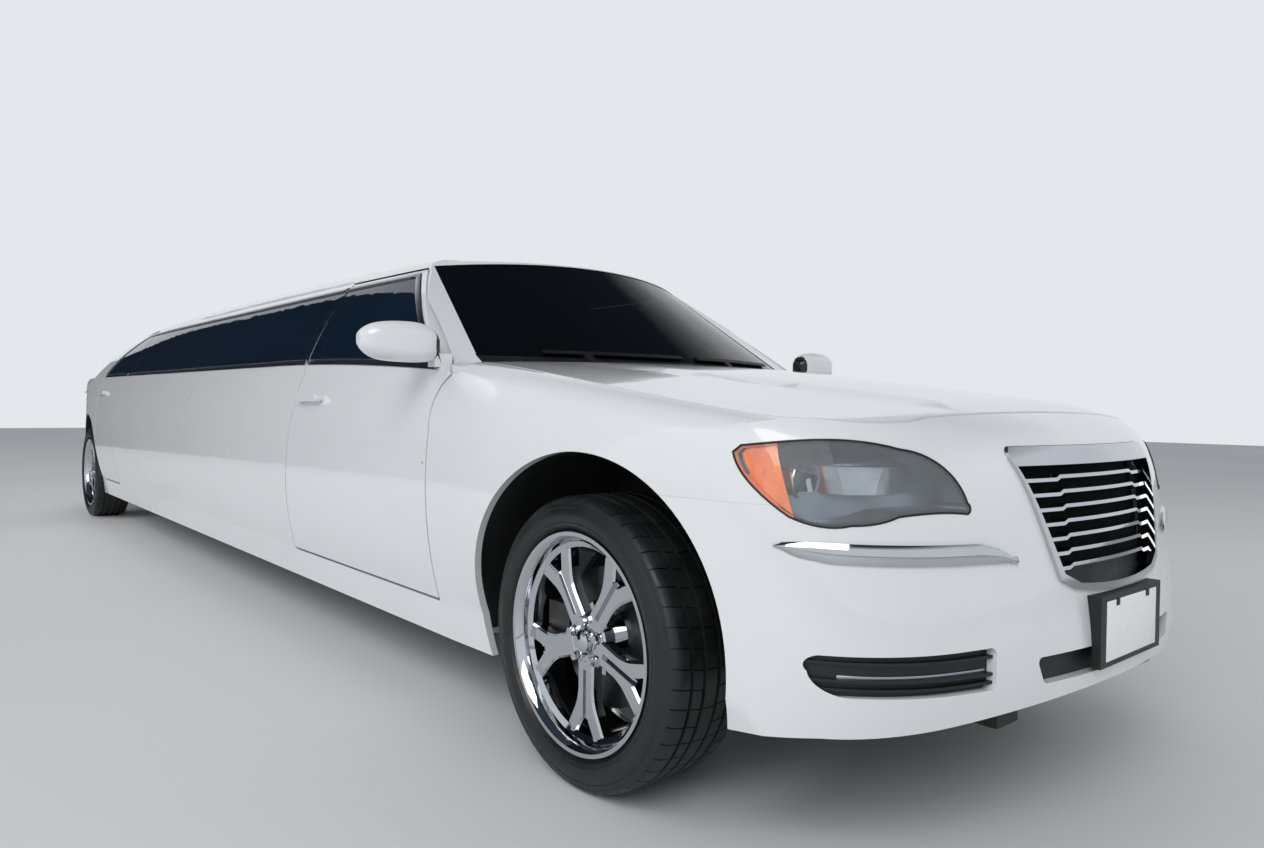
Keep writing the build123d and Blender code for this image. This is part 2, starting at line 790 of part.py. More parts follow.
def make_grille(forms, parts):
    ends = (at_front(500), at_front(1000))
    back = front_form(INSERT_BACK, True)
    ring = front_form(-TRIM_PROUD) & front_prism(grille_outline(-0.5), *ends)
    opening = front_prism(grille_opening(), *ends)
    bars = front_form(BAR_SET_BACK) & opening
    pitch = (824.0 - 567.0) / (BAR_COUNT + 1)
    strips = Part() + [front_prism(grille_bar(572.0 + pitch * (i + 1)), *ends) for i in range(BAR_COUNT)]
    parts["grille"] = (ring - [opening, back]) + ((bars & strips) - back)

    inserts = front_prism(offset(middle_intake_outline(), 12.0), *ends)
    inserts = inserts + both_sides(front_prism(offset(side_intake_outline(), 12.0), *ends))
    mesh = (forms["front_skin"] & inserts) - back
    slats = None
    for z in (388, 405, 440):
        slat = front_prism(Pos(0, z) * Rectangle(1700, 6), *ends)
        slats = slat if slats is None else slats + slat
    openings = both_sides(front_prism(offset(side_intake_outline(), -0.5), *ends))
    slats = (front_form(BAR_SET_BACK) & openings & slats) - back
    parts["lower_grilles"] = mesh + slats


def make_plates(parts):
    frame = block(at_front(880), at_front(925), -170, 170, 375, 535)
    parts["front_plate"] = frame - front_form(0.0)
    plate = block(at_rear(-1067), at_rear(-1000), -160, 160, 480, 600)
    parts["rear_plate"] = plate - rear_form(0.0)


def wheel_spoke():
    """One forked spoke pointing up, with a groove along its middle and eased front edges."""
    face = outline(
        (-31, 48),
        (-30, 112),
        (-33, 142, -43, 170),
        (-72, 222),
        (-66, 231),
        (-36, 240),
        (-9, 196),
        (9, 196),
        (36, 240),
        (66, 231),
        (72, 222),
        (43, 170),
        (33, 142, 30, 112),
        (31, 48),
    )
    arm = extrude(Plane.XZ.offset(-SPOKE_FACE + SPOKE_THICK) * face, amount=-SPOKE_THICK)
    front = arm.faces().sort_by(Axis.Y)[-1]
    arm = chamfer(front.edges(), SPOKE_EDGE)
    groove = Pos(0, SPOKE_FACE, 137) * Box(GROOVE_WIDTH, 2 * GROOVE_DEPTH, 130)
    return arm - groove


def wheel_rim():
    half = RIM_WIDTH / 2.0
    face = outline(
        (half, FLANGE_RADIUS),
        (half - FLANGE_THICK, FLANGE_RADIUS),
        (half - FLANGE_THICK, BEAD_RADIUS),
        (half - 46, BEAD_RADIUS),
        (half - 62, 238.0),
        (-half + 62, 238.0),
        (-half + 46, BEAD_RADIUS),
        (-half + FLANGE_THICK, BEAD_RADIUS),
        (-half + FLANGE_THICK, FLANGE_RADIUS),
        (-half, FLANGE_RADIUS),
        (-half, 262.0),
        (-half + 30, 244.0),
        (-half + 62, 228.0),
        (half - 62, 228.0),
        (half - 38, 232.0),
        (half - 30, 246.0),
        (half - 10, 252.0),
        (half, 262.0),
    )
    rim = revolve(Plane.YZ * face, axis=Axis.Y)
    bore = SPINDLE_RADIUS + SPINDLE_CLEAR
    hub_face = outline(
        (20, bore),
        (20, HUB_RADIUS),
        (HUB_FACE - 8, HUB_RADIUS),
        (HUB_FACE, HUB_RADIUS - 8),
        (HUB_FACE, CAP_RADIUS),
        (HUB_FACE + 16, CAP_RADIUS - 3),
        (HUB_FACE + 22, CAP_RADIUS - 11),
        (HUB_FACE + 25, CAP_RADIUS - 24),
        (HUB_FACE + 25, 0),
        (64, 0),
        (64, bore),
    )
    wheel = rim + revolve(Plane.YZ * hub_face, axis=Axis.Y)
    spoke = wheel_spoke()
    nut = extrude(RegularPolygon(NUT_RADIUS, 6), NUT_HEIGHT, both=True)
    nut = Pos(0, HUB_FACE, -NUT_RING) * Rot(90, 0, 0) * nut
    for index in range(SPOKE_COUNT):
        turn = 180.0 + 360.0 / SPOKE_COUNT * index
        wheel = wheel + Rot(0, turn, 0) * spoke + Rot(0, turn, 0) * nut
    disc_face = outline(
        (-20, 70),
        (-20, DISC_RADIUS),
        (12, DISC_RADIUS),
        (12, 95),
        (20, 95),
        (20, bore),
        (8, bore),
        (8, 70),
    )
    return wheel + revolve(Plane.YZ * disc_face, axis=Axis.Y)


def wheel_tyre():
    half = TYRE_WIDTH / 2.0
    seat = RIM_WIDTH / 2.0 - FLANGE_THICK
    lip = FLANGE_RADIUS + 1.0
    face = outline(
        (seat, BEAD_RADIUS),
        (seat, lip),
        (half, 312, half - 12, 348),
        (half - 20, 358, half - 36, TYRE_RADIUS - 1),
        (0, TYRE_RADIUS, -half + 36, TYRE_RADIUS - 1),
        (-half + 20, 358, -half + 12, 348),
        (-half, 312, -seat, lip),
        (-seat, BEAD_RADIUS),
        (-seat + 22, BEAD_RADIUS),
        (-seat + 14, BEAD_RADIUS + 16),
        (-half + 14, 312, -half + 28, 340),
        (0, 346, half - 28, 340),
        (half - 14, 312, seat - 14, BEAD_RADIUS + 16),
        (seat - 22, BEAD_RADIUS),
    )
    return revolve(Plane.YZ * face, axis=Axis.Y)


def make_wheels(parts):
    rim = wheel_rim()
    tyre = wheel_tyre()
    for end, x in (("front", at_front(0)), ("rear", at_rear(0))):
        place = Pos(x, WHEEL_Y, TYRE_RADIUS)
        parts["wheel_" + end + "_left"] = place * rim
        parts["tyre_" + end + "_left"] = place * tyre
        parts["wheel_" + end + "_right"] = mirror(place * rim, about=Plane.XZ)
        parts["tyre_" + end + "_right"] = mirror(place * tyre, about=Plane.XZ)


def hub_carrier():
    """Spindle, upright and brake caliper of a left wheel, about the wheel's centre."""
    spindle = across(0, 0, SPINDLE_RADIUS, -70, 62)
    upright = block(-60, 60, -95, -60, -104, 130)
    arm = block(-210, -40, -80, -62, -40, 60)
    caliper = block(-212, -120, -62, 40, -62, 62)
    slot = block(-185, -100, -28, 20, -80, 80)
    lug = block(-24, 24, -76, STEER_OUT + 20, -104, -72)
    socket = Pos(0, STEER_OUT, -88) * Cylinder(STUD_RADIUS + STUD_CLEAR, 60)
    return spindle + (upright + lug - socket) + arm + (caliper - slot)


def make_running_gear(parts):
    carrier = hub_carrier()
    place = Pos(at_front(0), WHEEL_Y, TYRE_RADIUS)
    parts["knuckle_left"] = place * carrier
    parts["knuckle_right"] = mirror(place * carrier, about=Plane.XZ)

    rear = Pos(at_rear(0), WHEEL_Y, TYRE_RADIUS) * carrier
    shaft = across(at_rear(0), TYRE_RADIUS, 20, 90, WHEEL_Y - 90)
    arm = block(at_rear(-45), at_rear(45), 200, WHEEL_Y - 90, TYRE_RADIUS - 145, TYRE_RADIUS - 115)
    post = block(at_rear(-45), at_rear(45), 210, 255, TYRE_RADIUS - 100, BOOT_FLOOR_Z)
    housing = block(at_rear(-140), at_rear(160), -110, 110, TYRE_RADIUS - 100, TYRE_RADIUS + 80)
    beam = block(at_rear(-45), at_rear(45), -260, 260, TYRE_RADIUS - 145, TYRE_RADIUS - 90)
    parts["rear_axle"] = both_sides(rear + shaft + arm + post) + housing + beam

    low = TYRE_RADIUS - 145
    arm = block(at_front(-45), at_front(45), 300, KINGPIN_Y - 24, low, low + 30)
    arm = arm + block(at_front(-20), at_front(20), KINGPIN_Y - 30, KINGPIN_Y, low, low + 30)
    arm = arm + Pos(at_front(0), KINGPIN_Y, low + 15) * Cylinder(20, 30)
    arm = arm + Pos(at_front(0), KINGPIN_Y, low + 40) * Cylinder(STUD_RADIUS, 60)
    beam = block(at_front(-90), at_front(90), -420, 420, TYRE_RADIUS - 160, RAIL_Z)
    mount = block(at_front(-60), at_front(60), 160, 240, RAIL_Z, ENGINE_Z)
    parts["front_suspension"] = both_sides(arm + mount) + beam
    parts["engine"] = block(at_front(-420), at_front(420), -300, 300, ENGINE_Z, 900)
    length = at_front(-420) - at_rear(160)
    middle = (at_front(-420) + at_rear(160)) / 2
    parts["driveshaft"] = Pos(middle, 0, SHAFT_Z) * Rot(0, 90, 0) * Cylinder(38, length)
    silencer = block(at_rear(-900), at_rear(-500), -540, -240, 270, 420)
    pipe = block(at_rear(600), at_front(-700), -330, -280, 230, 256)
    for x in (at_rear(660), 0.0, at_front(-760)):
        pipe = pipe + block(x - 10, x + 10, -320, -290, 250, FLOOR_Z)
    rise = block(at_rear(600), at_rear(640), -330, -280, 230, 330)
    over = block(at_rear(-510), at_rear(640), -330, -280, 300, 330)
    parts["exhaust"] = silencer + rise + over + pipe


def make_floor(forms, parts):
    top = FLOOR_Z + FLOOR_THICK
    deck = BOOT_FLOOR_Z + FLOOR_THICK
    floor = block(at_rear(700), at_front(-640), -698, 698, FLOOR_Z, top)
    floor = floor + block(at_rear(-900), at_rear(700), -600, 600, BOOT_FLOOR_Z, deck)
    floor = floor + block(at_rear(680), at_rear(700), -698, 698, FLOOR_Z, deck)
    tunnel = block(at_rear(680), at_front(-640), -TUNNEL_HALF, TUNNEL_HALF, FLOOR_Z, TUNNEL_TOP)
    floor = floor + tunnel
    hollow = block(at_rear(660), at_front(-600), -TUNNEL_HALF + 16, TUNNEL_HALF - 16, 200, TUNNEL_TOP - 16)
    floor = floor - hollow
    rail = block(at_front(-624), at_front(820), 330, 420, RAIL_Z, RAIL_Z + 110)
    rails = both_sides(rail) + block(at_front(760), at_front(900), -500, 500, 540, 600)
    rails = rails + both_sides(block(at_front(760), at_front(820), 330, 420, RAIL_Z, 600))
    rails = rails & front_form(INSERT_BACK, True)
    for x in (at_front(0), at_rear(0)):
        floor = floor - both_sides(across(x, ARCH_Z, ARCH_RADIUS + 6.0, -1200, -500))
    parts["floor"] = floor
    parts["front_rails"] = rails
    ring = None
    for x in (at_front(0), at_rear(0)):
        well = across(x, ARCH_Z, ARCH_RADIUS + 5.0, -940, -500)
        well = well - across(x, ARCH_Z, ARCH_RADIUS + 1.0, -960, -506)
        well = well - block(x - 600, x + 600, -960, -400, -200, top + 12)
        well = well - block(x - 60, x + 60, -520, -480, 200, 480)
        ring = well if ring is None else ring + well
    parts["wheel_liners"] = both_sides(ring & forms["all_skin"])


def make_cabin(parts):
    top = FLOOR_Z + FLOOR_THICK
    seat = None
    for y in (-380.0, 380.0):
        base = block(at_front(-2050), at_front(-1520), y - 250, y + 250, top + 60, top + 290)
        back = Pos(at_front(-2060), y, top + 560) * Rot(0, -14, 0) * Box(130, 490, 660)
        rest = Pos(at_front(-2150), y, top + 930) * Box(90, 260, 150)
        legs = block(at_front(-2000), at_front(-1580), y - 200, y + 200, top, top + 60)
        one = base + back + rest + legs
        seat = one if seat is None else seat + one
    parts["front_seats"] = seat
    deck = BOOT_FLOOR_Z + FLOOR_THICK
    tunnel = block(at_rear(0), at_front(0), -TUNNEL_HALF, TUNNEL_HALF, top, TUNNEL_TOP)
    bench = block(at_rear(704), at_rear(1060), -690, 690, top, top + 340)
    bench = bench + block(at_rear(500), at_rear(710), -590, 590, deck, top + 340)
    bench = bench + block(at_rear(500), at_rear(640), -590, 590, top + 330, top + 800)
    parts["rear_seat"] = bench - tunnel
    lounge = block(at_rear(1500), at_front(-2700), 260, 690, top, top + 320)
    lounge = lounge + block(at_rear(1500), at_front(-2700), 610, 690, top + 320, top + 760)
    parts["lounge_seat"] = lounge
    wall = block(at_front(-2420), at_front(-2380), -690, 690, top, 1080)
    parts["partition"] = wall - tunnel
    dash = block(at_front(-1120), at_front(-640), -690, 690, 760, 1000)
    column = Pos(at_front(-1180), 380, 900) * Rot(0, -68, 0) * Cylinder(26, 260)
    rim = Torus(180, 15) + Cylinder(60, 30) + Box(360, 30, 12) + Pos(90, 0, 0) * Box(180, 30, 12)
    parts["dashboard"] = dash + column + Pos(at_front(-1290), 380, 945) * Rot(0, -68, 0) * rim
    parts["rear_shelf"] = block(at_rear(-240), at_rear(500), -590, 590, 1066, 1082)
    ends = (at_front(-1000), at_front(-500))
    wipers = None
    for y0, y1, arm_y in ((-540, -20, -405), (60, 560, 215)):
        blade = front_prism(Pos((y0 + y1) / 2, WIPER_Z) * Rectangle(y1 - y0, 12), *ends)
        arm = front_prism(Pos(arm_y, WIPER_Z - 16) * Rectangle(26, 36), *ends)
        one = (cabin_form(-WIPER_THICK) & (blade + arm)) - cabin_form(0.0)
        wipers = one if wipers is None else wipers + one
    parts["wipers"] = wipers - middle_form(0.0) - front_form(0.0)


def mirror_section(y, x0, x1, z0, z1, round_by):
    """Rounded section of the mirror's shell across its length."""
    face = Pos((x0 + x1) / 2, (z0 + z1) / 2) * RectangleRounded(x1 - x0, z1 - z0, round_by)
    return (Plane.XZ.offset(-y) * face).face()


def make_door_extras(parts):
    handles = (
        ("front_door_right", at_front(-1775), -916, 960),
        ("rear_door_right", at_rear(420), -900, 1000),
    )
    for name, x, y, z in handles:
        grip = Pos(x, y, z) * Box(230, 40, 28)
        grip = fillet(grip.edges().filter_by(Axis.Y), 11)
        parts[name] = parts[name] + fillet(grip.faces().sort_by(Axis.Y)[0].edges(), 7)
    middle = at_front(-792)
    rows = (
        (-880, middle - 22, middle + 22, 1090, 1152, 18),
        (-915, middle - 44, middle + 46, 1073, 1182, 38),
        (-1030, middle - 46, middle + 44, 1070, 1192, 38),
        (-1100, middle - 44, middle + 26, 1084, 1178, 33),
        (-1128, middle - 34, middle - 4, 1114, 1154, 14),
    )
    shell = loft([mirror_section(*row) for row in rows], ruled=False)
    foot = block(at_front(-810), at_front(-765), -900, -840, 1058, 1100)
    foot = foot - parts["front_door_glass_right"]
    parts["front_door_right"] = parts["front_door_right"] + [shell, foot]


def main():
    parts = {}
    forms = make_forms()
    make_doors(forms, parts)
    make_door_extras(parts)
    make_sides(forms, parts)
    make_nose_and_tail(forms, parts)
    make_grille(forms, parts)
    make_plates(parts)
    make_wheels(parts)
    make_running_gear(parts)
    make_floor(forms, parts)
    make_cabin(parts)
    mirrored = (
        "front_door",
        "front_door_glass",
        "rear_door",
        "rear_door_glass",
        "body_side",
        "rear_quarter",
        "front_fender",
        "stretch_glass",
    )
    for name in mirrored:
        parts[name + "_left"] = mirror(parts[name + "_right"], about=Plane.XZ)
    os.makedirs("parts", exist_ok=True)
    for name, part in parts.items():
        export_step(part, "parts/" + name + ".step")


main()
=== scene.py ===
"""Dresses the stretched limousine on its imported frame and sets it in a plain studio."""

import json
import logging
import math
from dataclasses import dataclass, field
from enum import Enum
from typing import Callable, Iterable, Sequence

import bpy
from mathutils import Matrix, Vector
from mathutils.bvhtree import BVHTree

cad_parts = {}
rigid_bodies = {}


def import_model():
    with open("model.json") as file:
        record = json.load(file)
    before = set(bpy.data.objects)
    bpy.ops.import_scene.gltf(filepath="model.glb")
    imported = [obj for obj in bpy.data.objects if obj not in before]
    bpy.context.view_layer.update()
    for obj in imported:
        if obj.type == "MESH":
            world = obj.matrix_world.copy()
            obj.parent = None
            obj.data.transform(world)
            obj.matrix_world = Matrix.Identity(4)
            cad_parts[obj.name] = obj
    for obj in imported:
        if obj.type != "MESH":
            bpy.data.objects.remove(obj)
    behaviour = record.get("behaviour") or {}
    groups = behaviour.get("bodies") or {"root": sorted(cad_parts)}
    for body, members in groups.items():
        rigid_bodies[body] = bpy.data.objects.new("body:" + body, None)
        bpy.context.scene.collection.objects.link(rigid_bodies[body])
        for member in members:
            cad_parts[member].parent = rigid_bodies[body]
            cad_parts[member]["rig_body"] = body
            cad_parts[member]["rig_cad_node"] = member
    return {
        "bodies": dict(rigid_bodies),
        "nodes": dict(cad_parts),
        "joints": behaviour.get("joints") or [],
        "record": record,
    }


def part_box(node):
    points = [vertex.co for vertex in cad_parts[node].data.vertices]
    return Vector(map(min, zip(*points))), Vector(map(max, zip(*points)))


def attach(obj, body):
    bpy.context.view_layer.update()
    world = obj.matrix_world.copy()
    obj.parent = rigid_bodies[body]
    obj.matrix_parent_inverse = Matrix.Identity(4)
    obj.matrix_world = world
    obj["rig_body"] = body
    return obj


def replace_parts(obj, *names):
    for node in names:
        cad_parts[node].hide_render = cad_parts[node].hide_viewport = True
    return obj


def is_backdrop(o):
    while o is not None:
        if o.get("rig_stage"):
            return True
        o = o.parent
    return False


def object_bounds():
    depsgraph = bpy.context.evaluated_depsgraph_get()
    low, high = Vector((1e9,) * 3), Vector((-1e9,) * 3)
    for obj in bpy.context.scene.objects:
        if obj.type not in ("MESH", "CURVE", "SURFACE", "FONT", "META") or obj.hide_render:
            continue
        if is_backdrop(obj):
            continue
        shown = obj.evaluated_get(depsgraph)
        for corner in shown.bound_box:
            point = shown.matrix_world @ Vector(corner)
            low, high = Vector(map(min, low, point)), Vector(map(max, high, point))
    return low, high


LOG = logging.getLogger("limousine")
FRONT_AXLE = 3.375
REAR_AXLE = -3.233
WHEEL_Y = 0.8055
WHEEL_Z = 0.361

Point = tuple[float, float, float]
Flat = tuple[float, float]


class Side(Enum):
    """The two sides of the vehicle, by the sign of y."""

    RIGHT = -1
    LEFT = 1


# Colours and nodes


def linear(code: str) -> tuple[float, float, float, float]:
    """Turns an sRGB hex colour to linear light.

    Args:
        code: six hex digits after a hash sign.

    Returns:
        Red, green, blue and an alpha of one.
    """
    parts = [int(code[i : i + 2], 16) / 255 for i in (1, 3, 5)]
    red, green, blue = [c / 12.92 if c <= 0.04045 else ((c + 0.055) / 1.055) ** 2.4 for c in parts]
    return red, green, blue, 1.0


def add_node(
    tree: bpy.types.NodeTree, kind: str, settings: dict | None = None, links: dict | None = None,
) -> bpy.types.Node:
    """Adds one node to a tree.

    Args:
        tree: the node tree.
        kind: the node's type name.
        settings: attribute names or input sockets with their values.
        links: input sockets with the output socket that feeds each.

    Returns:
        The new node.
    """
    node = tree.nodes.new(kind)
    for name, value in (settings or {}).items():
        if isinstance(name, str) and hasattr(node, name):
            setattr(node, name, value)
        else:
            node.inputs[name].default_value = value
    for name, output in (links or {}).items():
        tree.links.new(output, node.inputs[name])
    return node


def ramp(
    tree: bpy.types.NodeTree, source: bpy.types.NodeSocket, stops: Sequence[tuple[float, str]],
) -> bpy.types.NodeSocket:
    """Colours a value by a ramp.

    Args:
        tree: the node tree.
        source: the value.
        stops: places from nought to one with their hex colours.

    Returns:
        The ramp's colour output.
    """
    node = add_node(tree, "ShaderNodeValToRGB", links={0: source})
    elements = node.color_ramp.elements
    while len(elements) < len(stops):
        elements.new(0.5)
    for element, (place, colour) in zip(elements, stops):
        element.position = place
        element.color = linear(colour)
    return node.outputs[0]


@dataclass(frozen=True)
class Finish:
    """A surface as it was made: its base values, its mottle and its fine relief.

    grain_mm is the size of one grain of the relief and relief_mm its height.
    """

    name: str
    colour: str
    worn: str
    roughness: float
    metallic: float = 0.0
    ior: float = 1.5
    coat: float = 0.0
    coat_roughness: float = 0.03
    transmission: float = 0.0
    alpha: float = 1.0
    sheen: float = 0.0
    mottle_mm: float = 120.0
    grain_mm: float = 1.0
    relief_mm: float = 0.02
    rough_spread: float = 0.06
    stretch: Point = (1.0, 1.0, 1.0)
    emission: float = 0.0

    def material(self) -> bpy.types.Material:
        """Builds the material once and gives it back on later calls."""
        found = bpy.data.materials.get(self.name)
        if found:
            return found
        material = bpy.data.materials.new(self.name)
        material.use_nodes = True
        material.diffuse_color = linear(self.colour)
        tree = material.node_tree
        shader = tree.nodes["Principled BSDF"]
        values = {
            "Metallic": self.metallic,
            "IOR": self.ior,
            "Coat Weight": self.coat,
            "Coat Roughness": self.coat_roughness,
            "Transmission Weight": self.transmission,
            "Alpha": self.alpha,
            "Sheen Weight": self.sheen,
        }
        for socket, value in values.items():
            shader.inputs[socket].default_value = value
        if self.emission:
            shader.inputs["Emission Color"].default_value = linear(self.colour)
            shader.inputs["Emission Strength"].default_value = self.emission
        place = add_node(tree, "ShaderNodeTexCoord").outputs["Object"]
        mapped = add_node(tree, "ShaderNodeMapping", {"Scale": self.stretch}, {"Vector": place}).outputs[0]
        mottle = add_node(
            tree, "ShaderNodeTexNoise", {"Scale": 1000 / self.mottle_mm, "Detail": 4.0}, {"Vector": mapped},
        )
        tree.links.new(
            ramp(tree, mottle.outputs[0], ((0.35, self.colour), (0.75, self.worn))),
            shader.inputs["Base Color"],
        )
        spread = {
            1: 0.3, 2: 0.7, 3: max(0.0, self.roughness - self.rough_spread),
            4: self.roughness + self.rough_spread,
        }
        rough = add_node(tree, "ShaderNodeMapRange", spread, {0: mottle.outputs[0]})
        tree.links.new(rough.outputs[0], shader.inputs["Roughness"])
        grain = add_node(
            tree, "ShaderNodeTexNoise", {"Scale": 1000 / self.grain_mm, "Detail": 2.0}, {"Vector": mapped},
        )
        bump = add_node(
            tree, "ShaderNodeBump", {"Strength": 0.5, "Distance": self.relief_mm / 1000},
            {"Height": grain.outputs[0]},
        )
        tree.links.new(bump.outputs[0], shader.inputs["Normal"])
        return material


# Two-stage urethane paint over steel: a deep even gloss, with a faint orange peel of about 6 mm
PAINT = Finish(
    "urethane_white_paint", "#E0E2E4", "#DADCDE", 0.32, ior=1.5, coat=1.0, mottle_mm=900, grain_mm=6,
    relief_mm=0.012,
)
# Tempered privacy glass: deep blue black with a sharp reflection; the black is the glass's real tint, the
# navy blue a painted reflection of a blue sky
SIDE_GLASS_TINT_AND_PAINTED_SKY = Finish(
    "tempered_privacy_glass", "#0C1929", "#0F1E30", 0.02, ior=1.45, alpha=0.95, mottle_mm=600, grain_mm=60,
    relief_mm=0.004, rough_spread=0.01,
)
# Laminated windshield and rear glass: near black, painted shade for the dark cabin seen through them, a
# little clearer than the sides
SCREEN_GLASS_PAINTED_SHADE = Finish(
    "laminated_glass", "#04060A", "#06090D", 0.02, ior=1.3, alpha=0.88, mottle_mm=600, grain_mm=60,
    relief_mm=0.003, rough_spread=0.01,
)
# Electroplated chromium: bright, faintly cold, mirror smooth
CHROME = Finish(
    "electroplated_chrome", "#C9CCD0", "#BFC3C8", 0.06, metallic=1.0, mottle_mm=200, grain_mm=3,
    relief_mm=0.002, rough_spread=0.03,
)
# Brushed bright trim along the windows: softer and greyer than chrome
BRIGHT_TRIM = Finish(
    "bright_anodised_trim", "#A9B0B8", "#9AA2AC", 0.24, metallic=1.0, mottle_mm=160, grain_mm=1.5,
    relief_mm=0.01, stretch=(0.05, 1, 1),
)
# Carbon black rubber of the tyres: dark, dry on the tread and a little dusty
TYRE = Finish(
    "carbon_black_rubber", "#151617", "#212222", 0.46, mottle_mm=60, grain_mm=1.2, relief_mm=0.12,
    rough_spread=0.12,
)
# EPDM seals: matt black
SEAL = Finish("epdm_seal", "#0C0C0D", "#131314", 0.6, mottle_mm=80, grain_mm=0.8, relief_mm=0.05)
# Moulded polypropylene: fine leather-like grain
BLACK_PLASTIC = Finish(
    "moulded_polypropylene", "#111213", "#1A1B1C", 0.5, mottle_mm=90, grain_mm=1.4, relief_mm=0.08,
)
# Near black sheet behind the grille: painted shade for the dark inside of the nose, swallowing nearly all
# light
GRILLE_PAINTED_SHADE = Finish(
    "flocked_black_back", "#020202", "#040404", 0.95, ior=1.3, mottle_mm=60, grain_mm=1.0, relief_mm=0.05,
)
# Gloss black ABS, as on the mirror's foot
GLOSS_BLACK = Finish(
    "gloss_black_abs", "#0B0B0C", "#101112", 0.16, mottle_mm=200, grain_mm=4, relief_mm=0.01,
)
# Painted frame steel with road dust
CHASSIS = Finish(
    "phosphated_steel", "#2A2B2C", "#3A3936", 0.55, metallic=0.6, mottle_mm=70, grain_mm=2.0,
    relief_mm=0.15, rough_spread=0.1,
)
# Grey cast iron, machined where the pads rub
CAST_IRON = Finish(
    "grey_cast_iron", "#4A4B4D", "#5C5A57", 0.42, metallic=0.9, mottle_mm=40, grain_mm=0.8, relief_mm=0.08,
)
# Full-grain leather: pores and creases of about 2 mm
LEATHER = Finish(
    "full_grain_leather", "#1D1C1C", "#282625", 0.45, mottle_mm=140, grain_mm=2.2, relief_mm=0.35,
    rough_spread=0.1,
)
# Loop pile carpet
CARPET = Finish(
    "loop_pile_carpet", "#17181A", "#232427", 0.9, sheen=0.4, mottle_mm=30, grain_mm=3.0, relief_mm=1.2,
)
# Powder coated plate blank
PLATE = Finish("powder_coated_plate", "#F2F3F4", "#ECEDEE", 0.3, mottle_mm=200, grain_mm=2, relief_mm=0.02)
# Polycarbonate lamp cover: clear, hard coated
LENS = Finish(
    "clear_polycarbonate", "#E8EEF3", "#DDE4EA", 0.02, ior=1.58, alpha=0.09, mottle_mm=300, grain_mm=30,
    relief_mm=0.002, rough_spread=0.01,
)
# Vacuum metallised reflector
REFLECTOR = Finish(
    "metallised_reflector", "#AEB4BA", "#8F979F", 0.12, metallic=1.0, mottle_mm=60, grain_mm=6,
    relief_mm=0.05,
)
# Glass of a projector lamp: thick; its dark colour is painted shade for the dark lamp behind it
PROJECTOR_PAINTED_SHADE = Finish(
    "projector_glass", "#232A30", "#2B333A", 0.03, ior=1.52, coat=1.0, mottle_mm=200, grain_mm=20,
    relief_mm=0.002, rough_spread=0.01,
)
# Lamp housing: smoke grey moulding
LAMP_TUB = Finish(
    "smoke_grey_moulding", "#78828C", "#5E6871", 0.2, metallic=0.85, mottle_mm=60, grain_mm=3,
    relief_mm=0.02,
)
# Stitched vinyl of the door linings
DOOR_TRIM = Finish(
    "moulded_vinyl_lining", "#232324", "#1D1D1E", 0.5, mottle_mm=80, grain_mm=1.6, relief_mm=0.12,
)
# Woven headlining
HEADLINING = Finish(
    "knitted_headlining", "#5F5E5B", "#565552", 0.9, sheen=0.3, mottle_mm=60, grain_mm=1.5, relief_mm=0.3,
)
# Silvered glass
MIRROR = Finish(
    "silvered_glass", "#B9C0C6", "#B4BBC2", 0.03, metallic=1.0, mottle_mm=300, grain_mm=40, relief_mm=0.002,
    rough_spread=0.01,
)
# Amber and red acrylic, fluted inside. The amber one also glows faintly: a painted glow that stands for the
# light its flutes catch from all sides
AMBER_PAINTED_GLOW = Finish(
    "amber_acrylic", "#F07A12", "#D9560A", 0.1, coat=0.6, mottle_mm=45, grain_mm=7, relief_mm=0.5,
    emission=0.12,
)
RED = Finish("red_acrylic", "#8E0E14", "#6E090E", 0.08, coat=0.8, mottle_mm=80, grain_mm=6, relief_mm=0.2)


# Modelling helpers


def deselect() -> None:
    """Leaves edit mode and deselects everything."""
    if bpy.context.mode != "OBJECT":
        bpy.ops.object.mode_set(mode="OBJECT")
    bpy.ops.object.select_all(action="DESELECT")


def take(obj: bpy.types.Object) -> None:
    """Makes one object the selected and active one."""
    deselect()
    obj.select_set(True)
    bpy.context.view_layer.objects.active = obj


def started(name: str) -> bpy.types.Object:
    """Names the primitive that was just added."""
    obj = bpy.context.active_object
    obj.name = name
    obj.data.name = name
    return obj


def settle(obj: bpy.types.Object) -> bpy.types.Object:
    """Puts the object's place into its mesh, so that the object sits at the origin."""
    take(obj)
    bpy.ops.object.transform_apply(location=True, rotation=True, scale=True)
    return obj


def pick_faces(obj: bpy.types.Object, wanted: Callable[[bpy.types.MeshPolygon], bool]) -> int:
    """Selects faces by their place or normal and enters edit mode.

    Args:
        obj: the mesh object.
        wanted: says for one face whether it is selected.

    Returns:
        How many faces are selected.
    """
    take(obj)
    bpy.ops.object.mode_set(mode="EDIT")
    bpy.ops.mesh.select_mode(type="FACE")
    bpy.ops.mesh.select_all(action="DESELECT")
    bpy.ops.object.mode_set(mode="OBJECT")
    count = 0
    for face in obj.data.polygons:
        face.select = wanted(face)
        count += face.select
    bpy.ops.object.mode_set(mode="EDIT")
    return count


def modify(obj: bpy.types.Object, kind: str, **settings: object) -> bpy.types.Object:
    """Adds a modifier with its settings and applies it."""
    take(obj)
    modifier = obj.modifiers.new(kind.lower(), kind)
    for name, value in settings.items():
        setattr(modifier, name, value)
    bpy.ops.object.modifier_apply(modifier=modifier.name)
    return obj


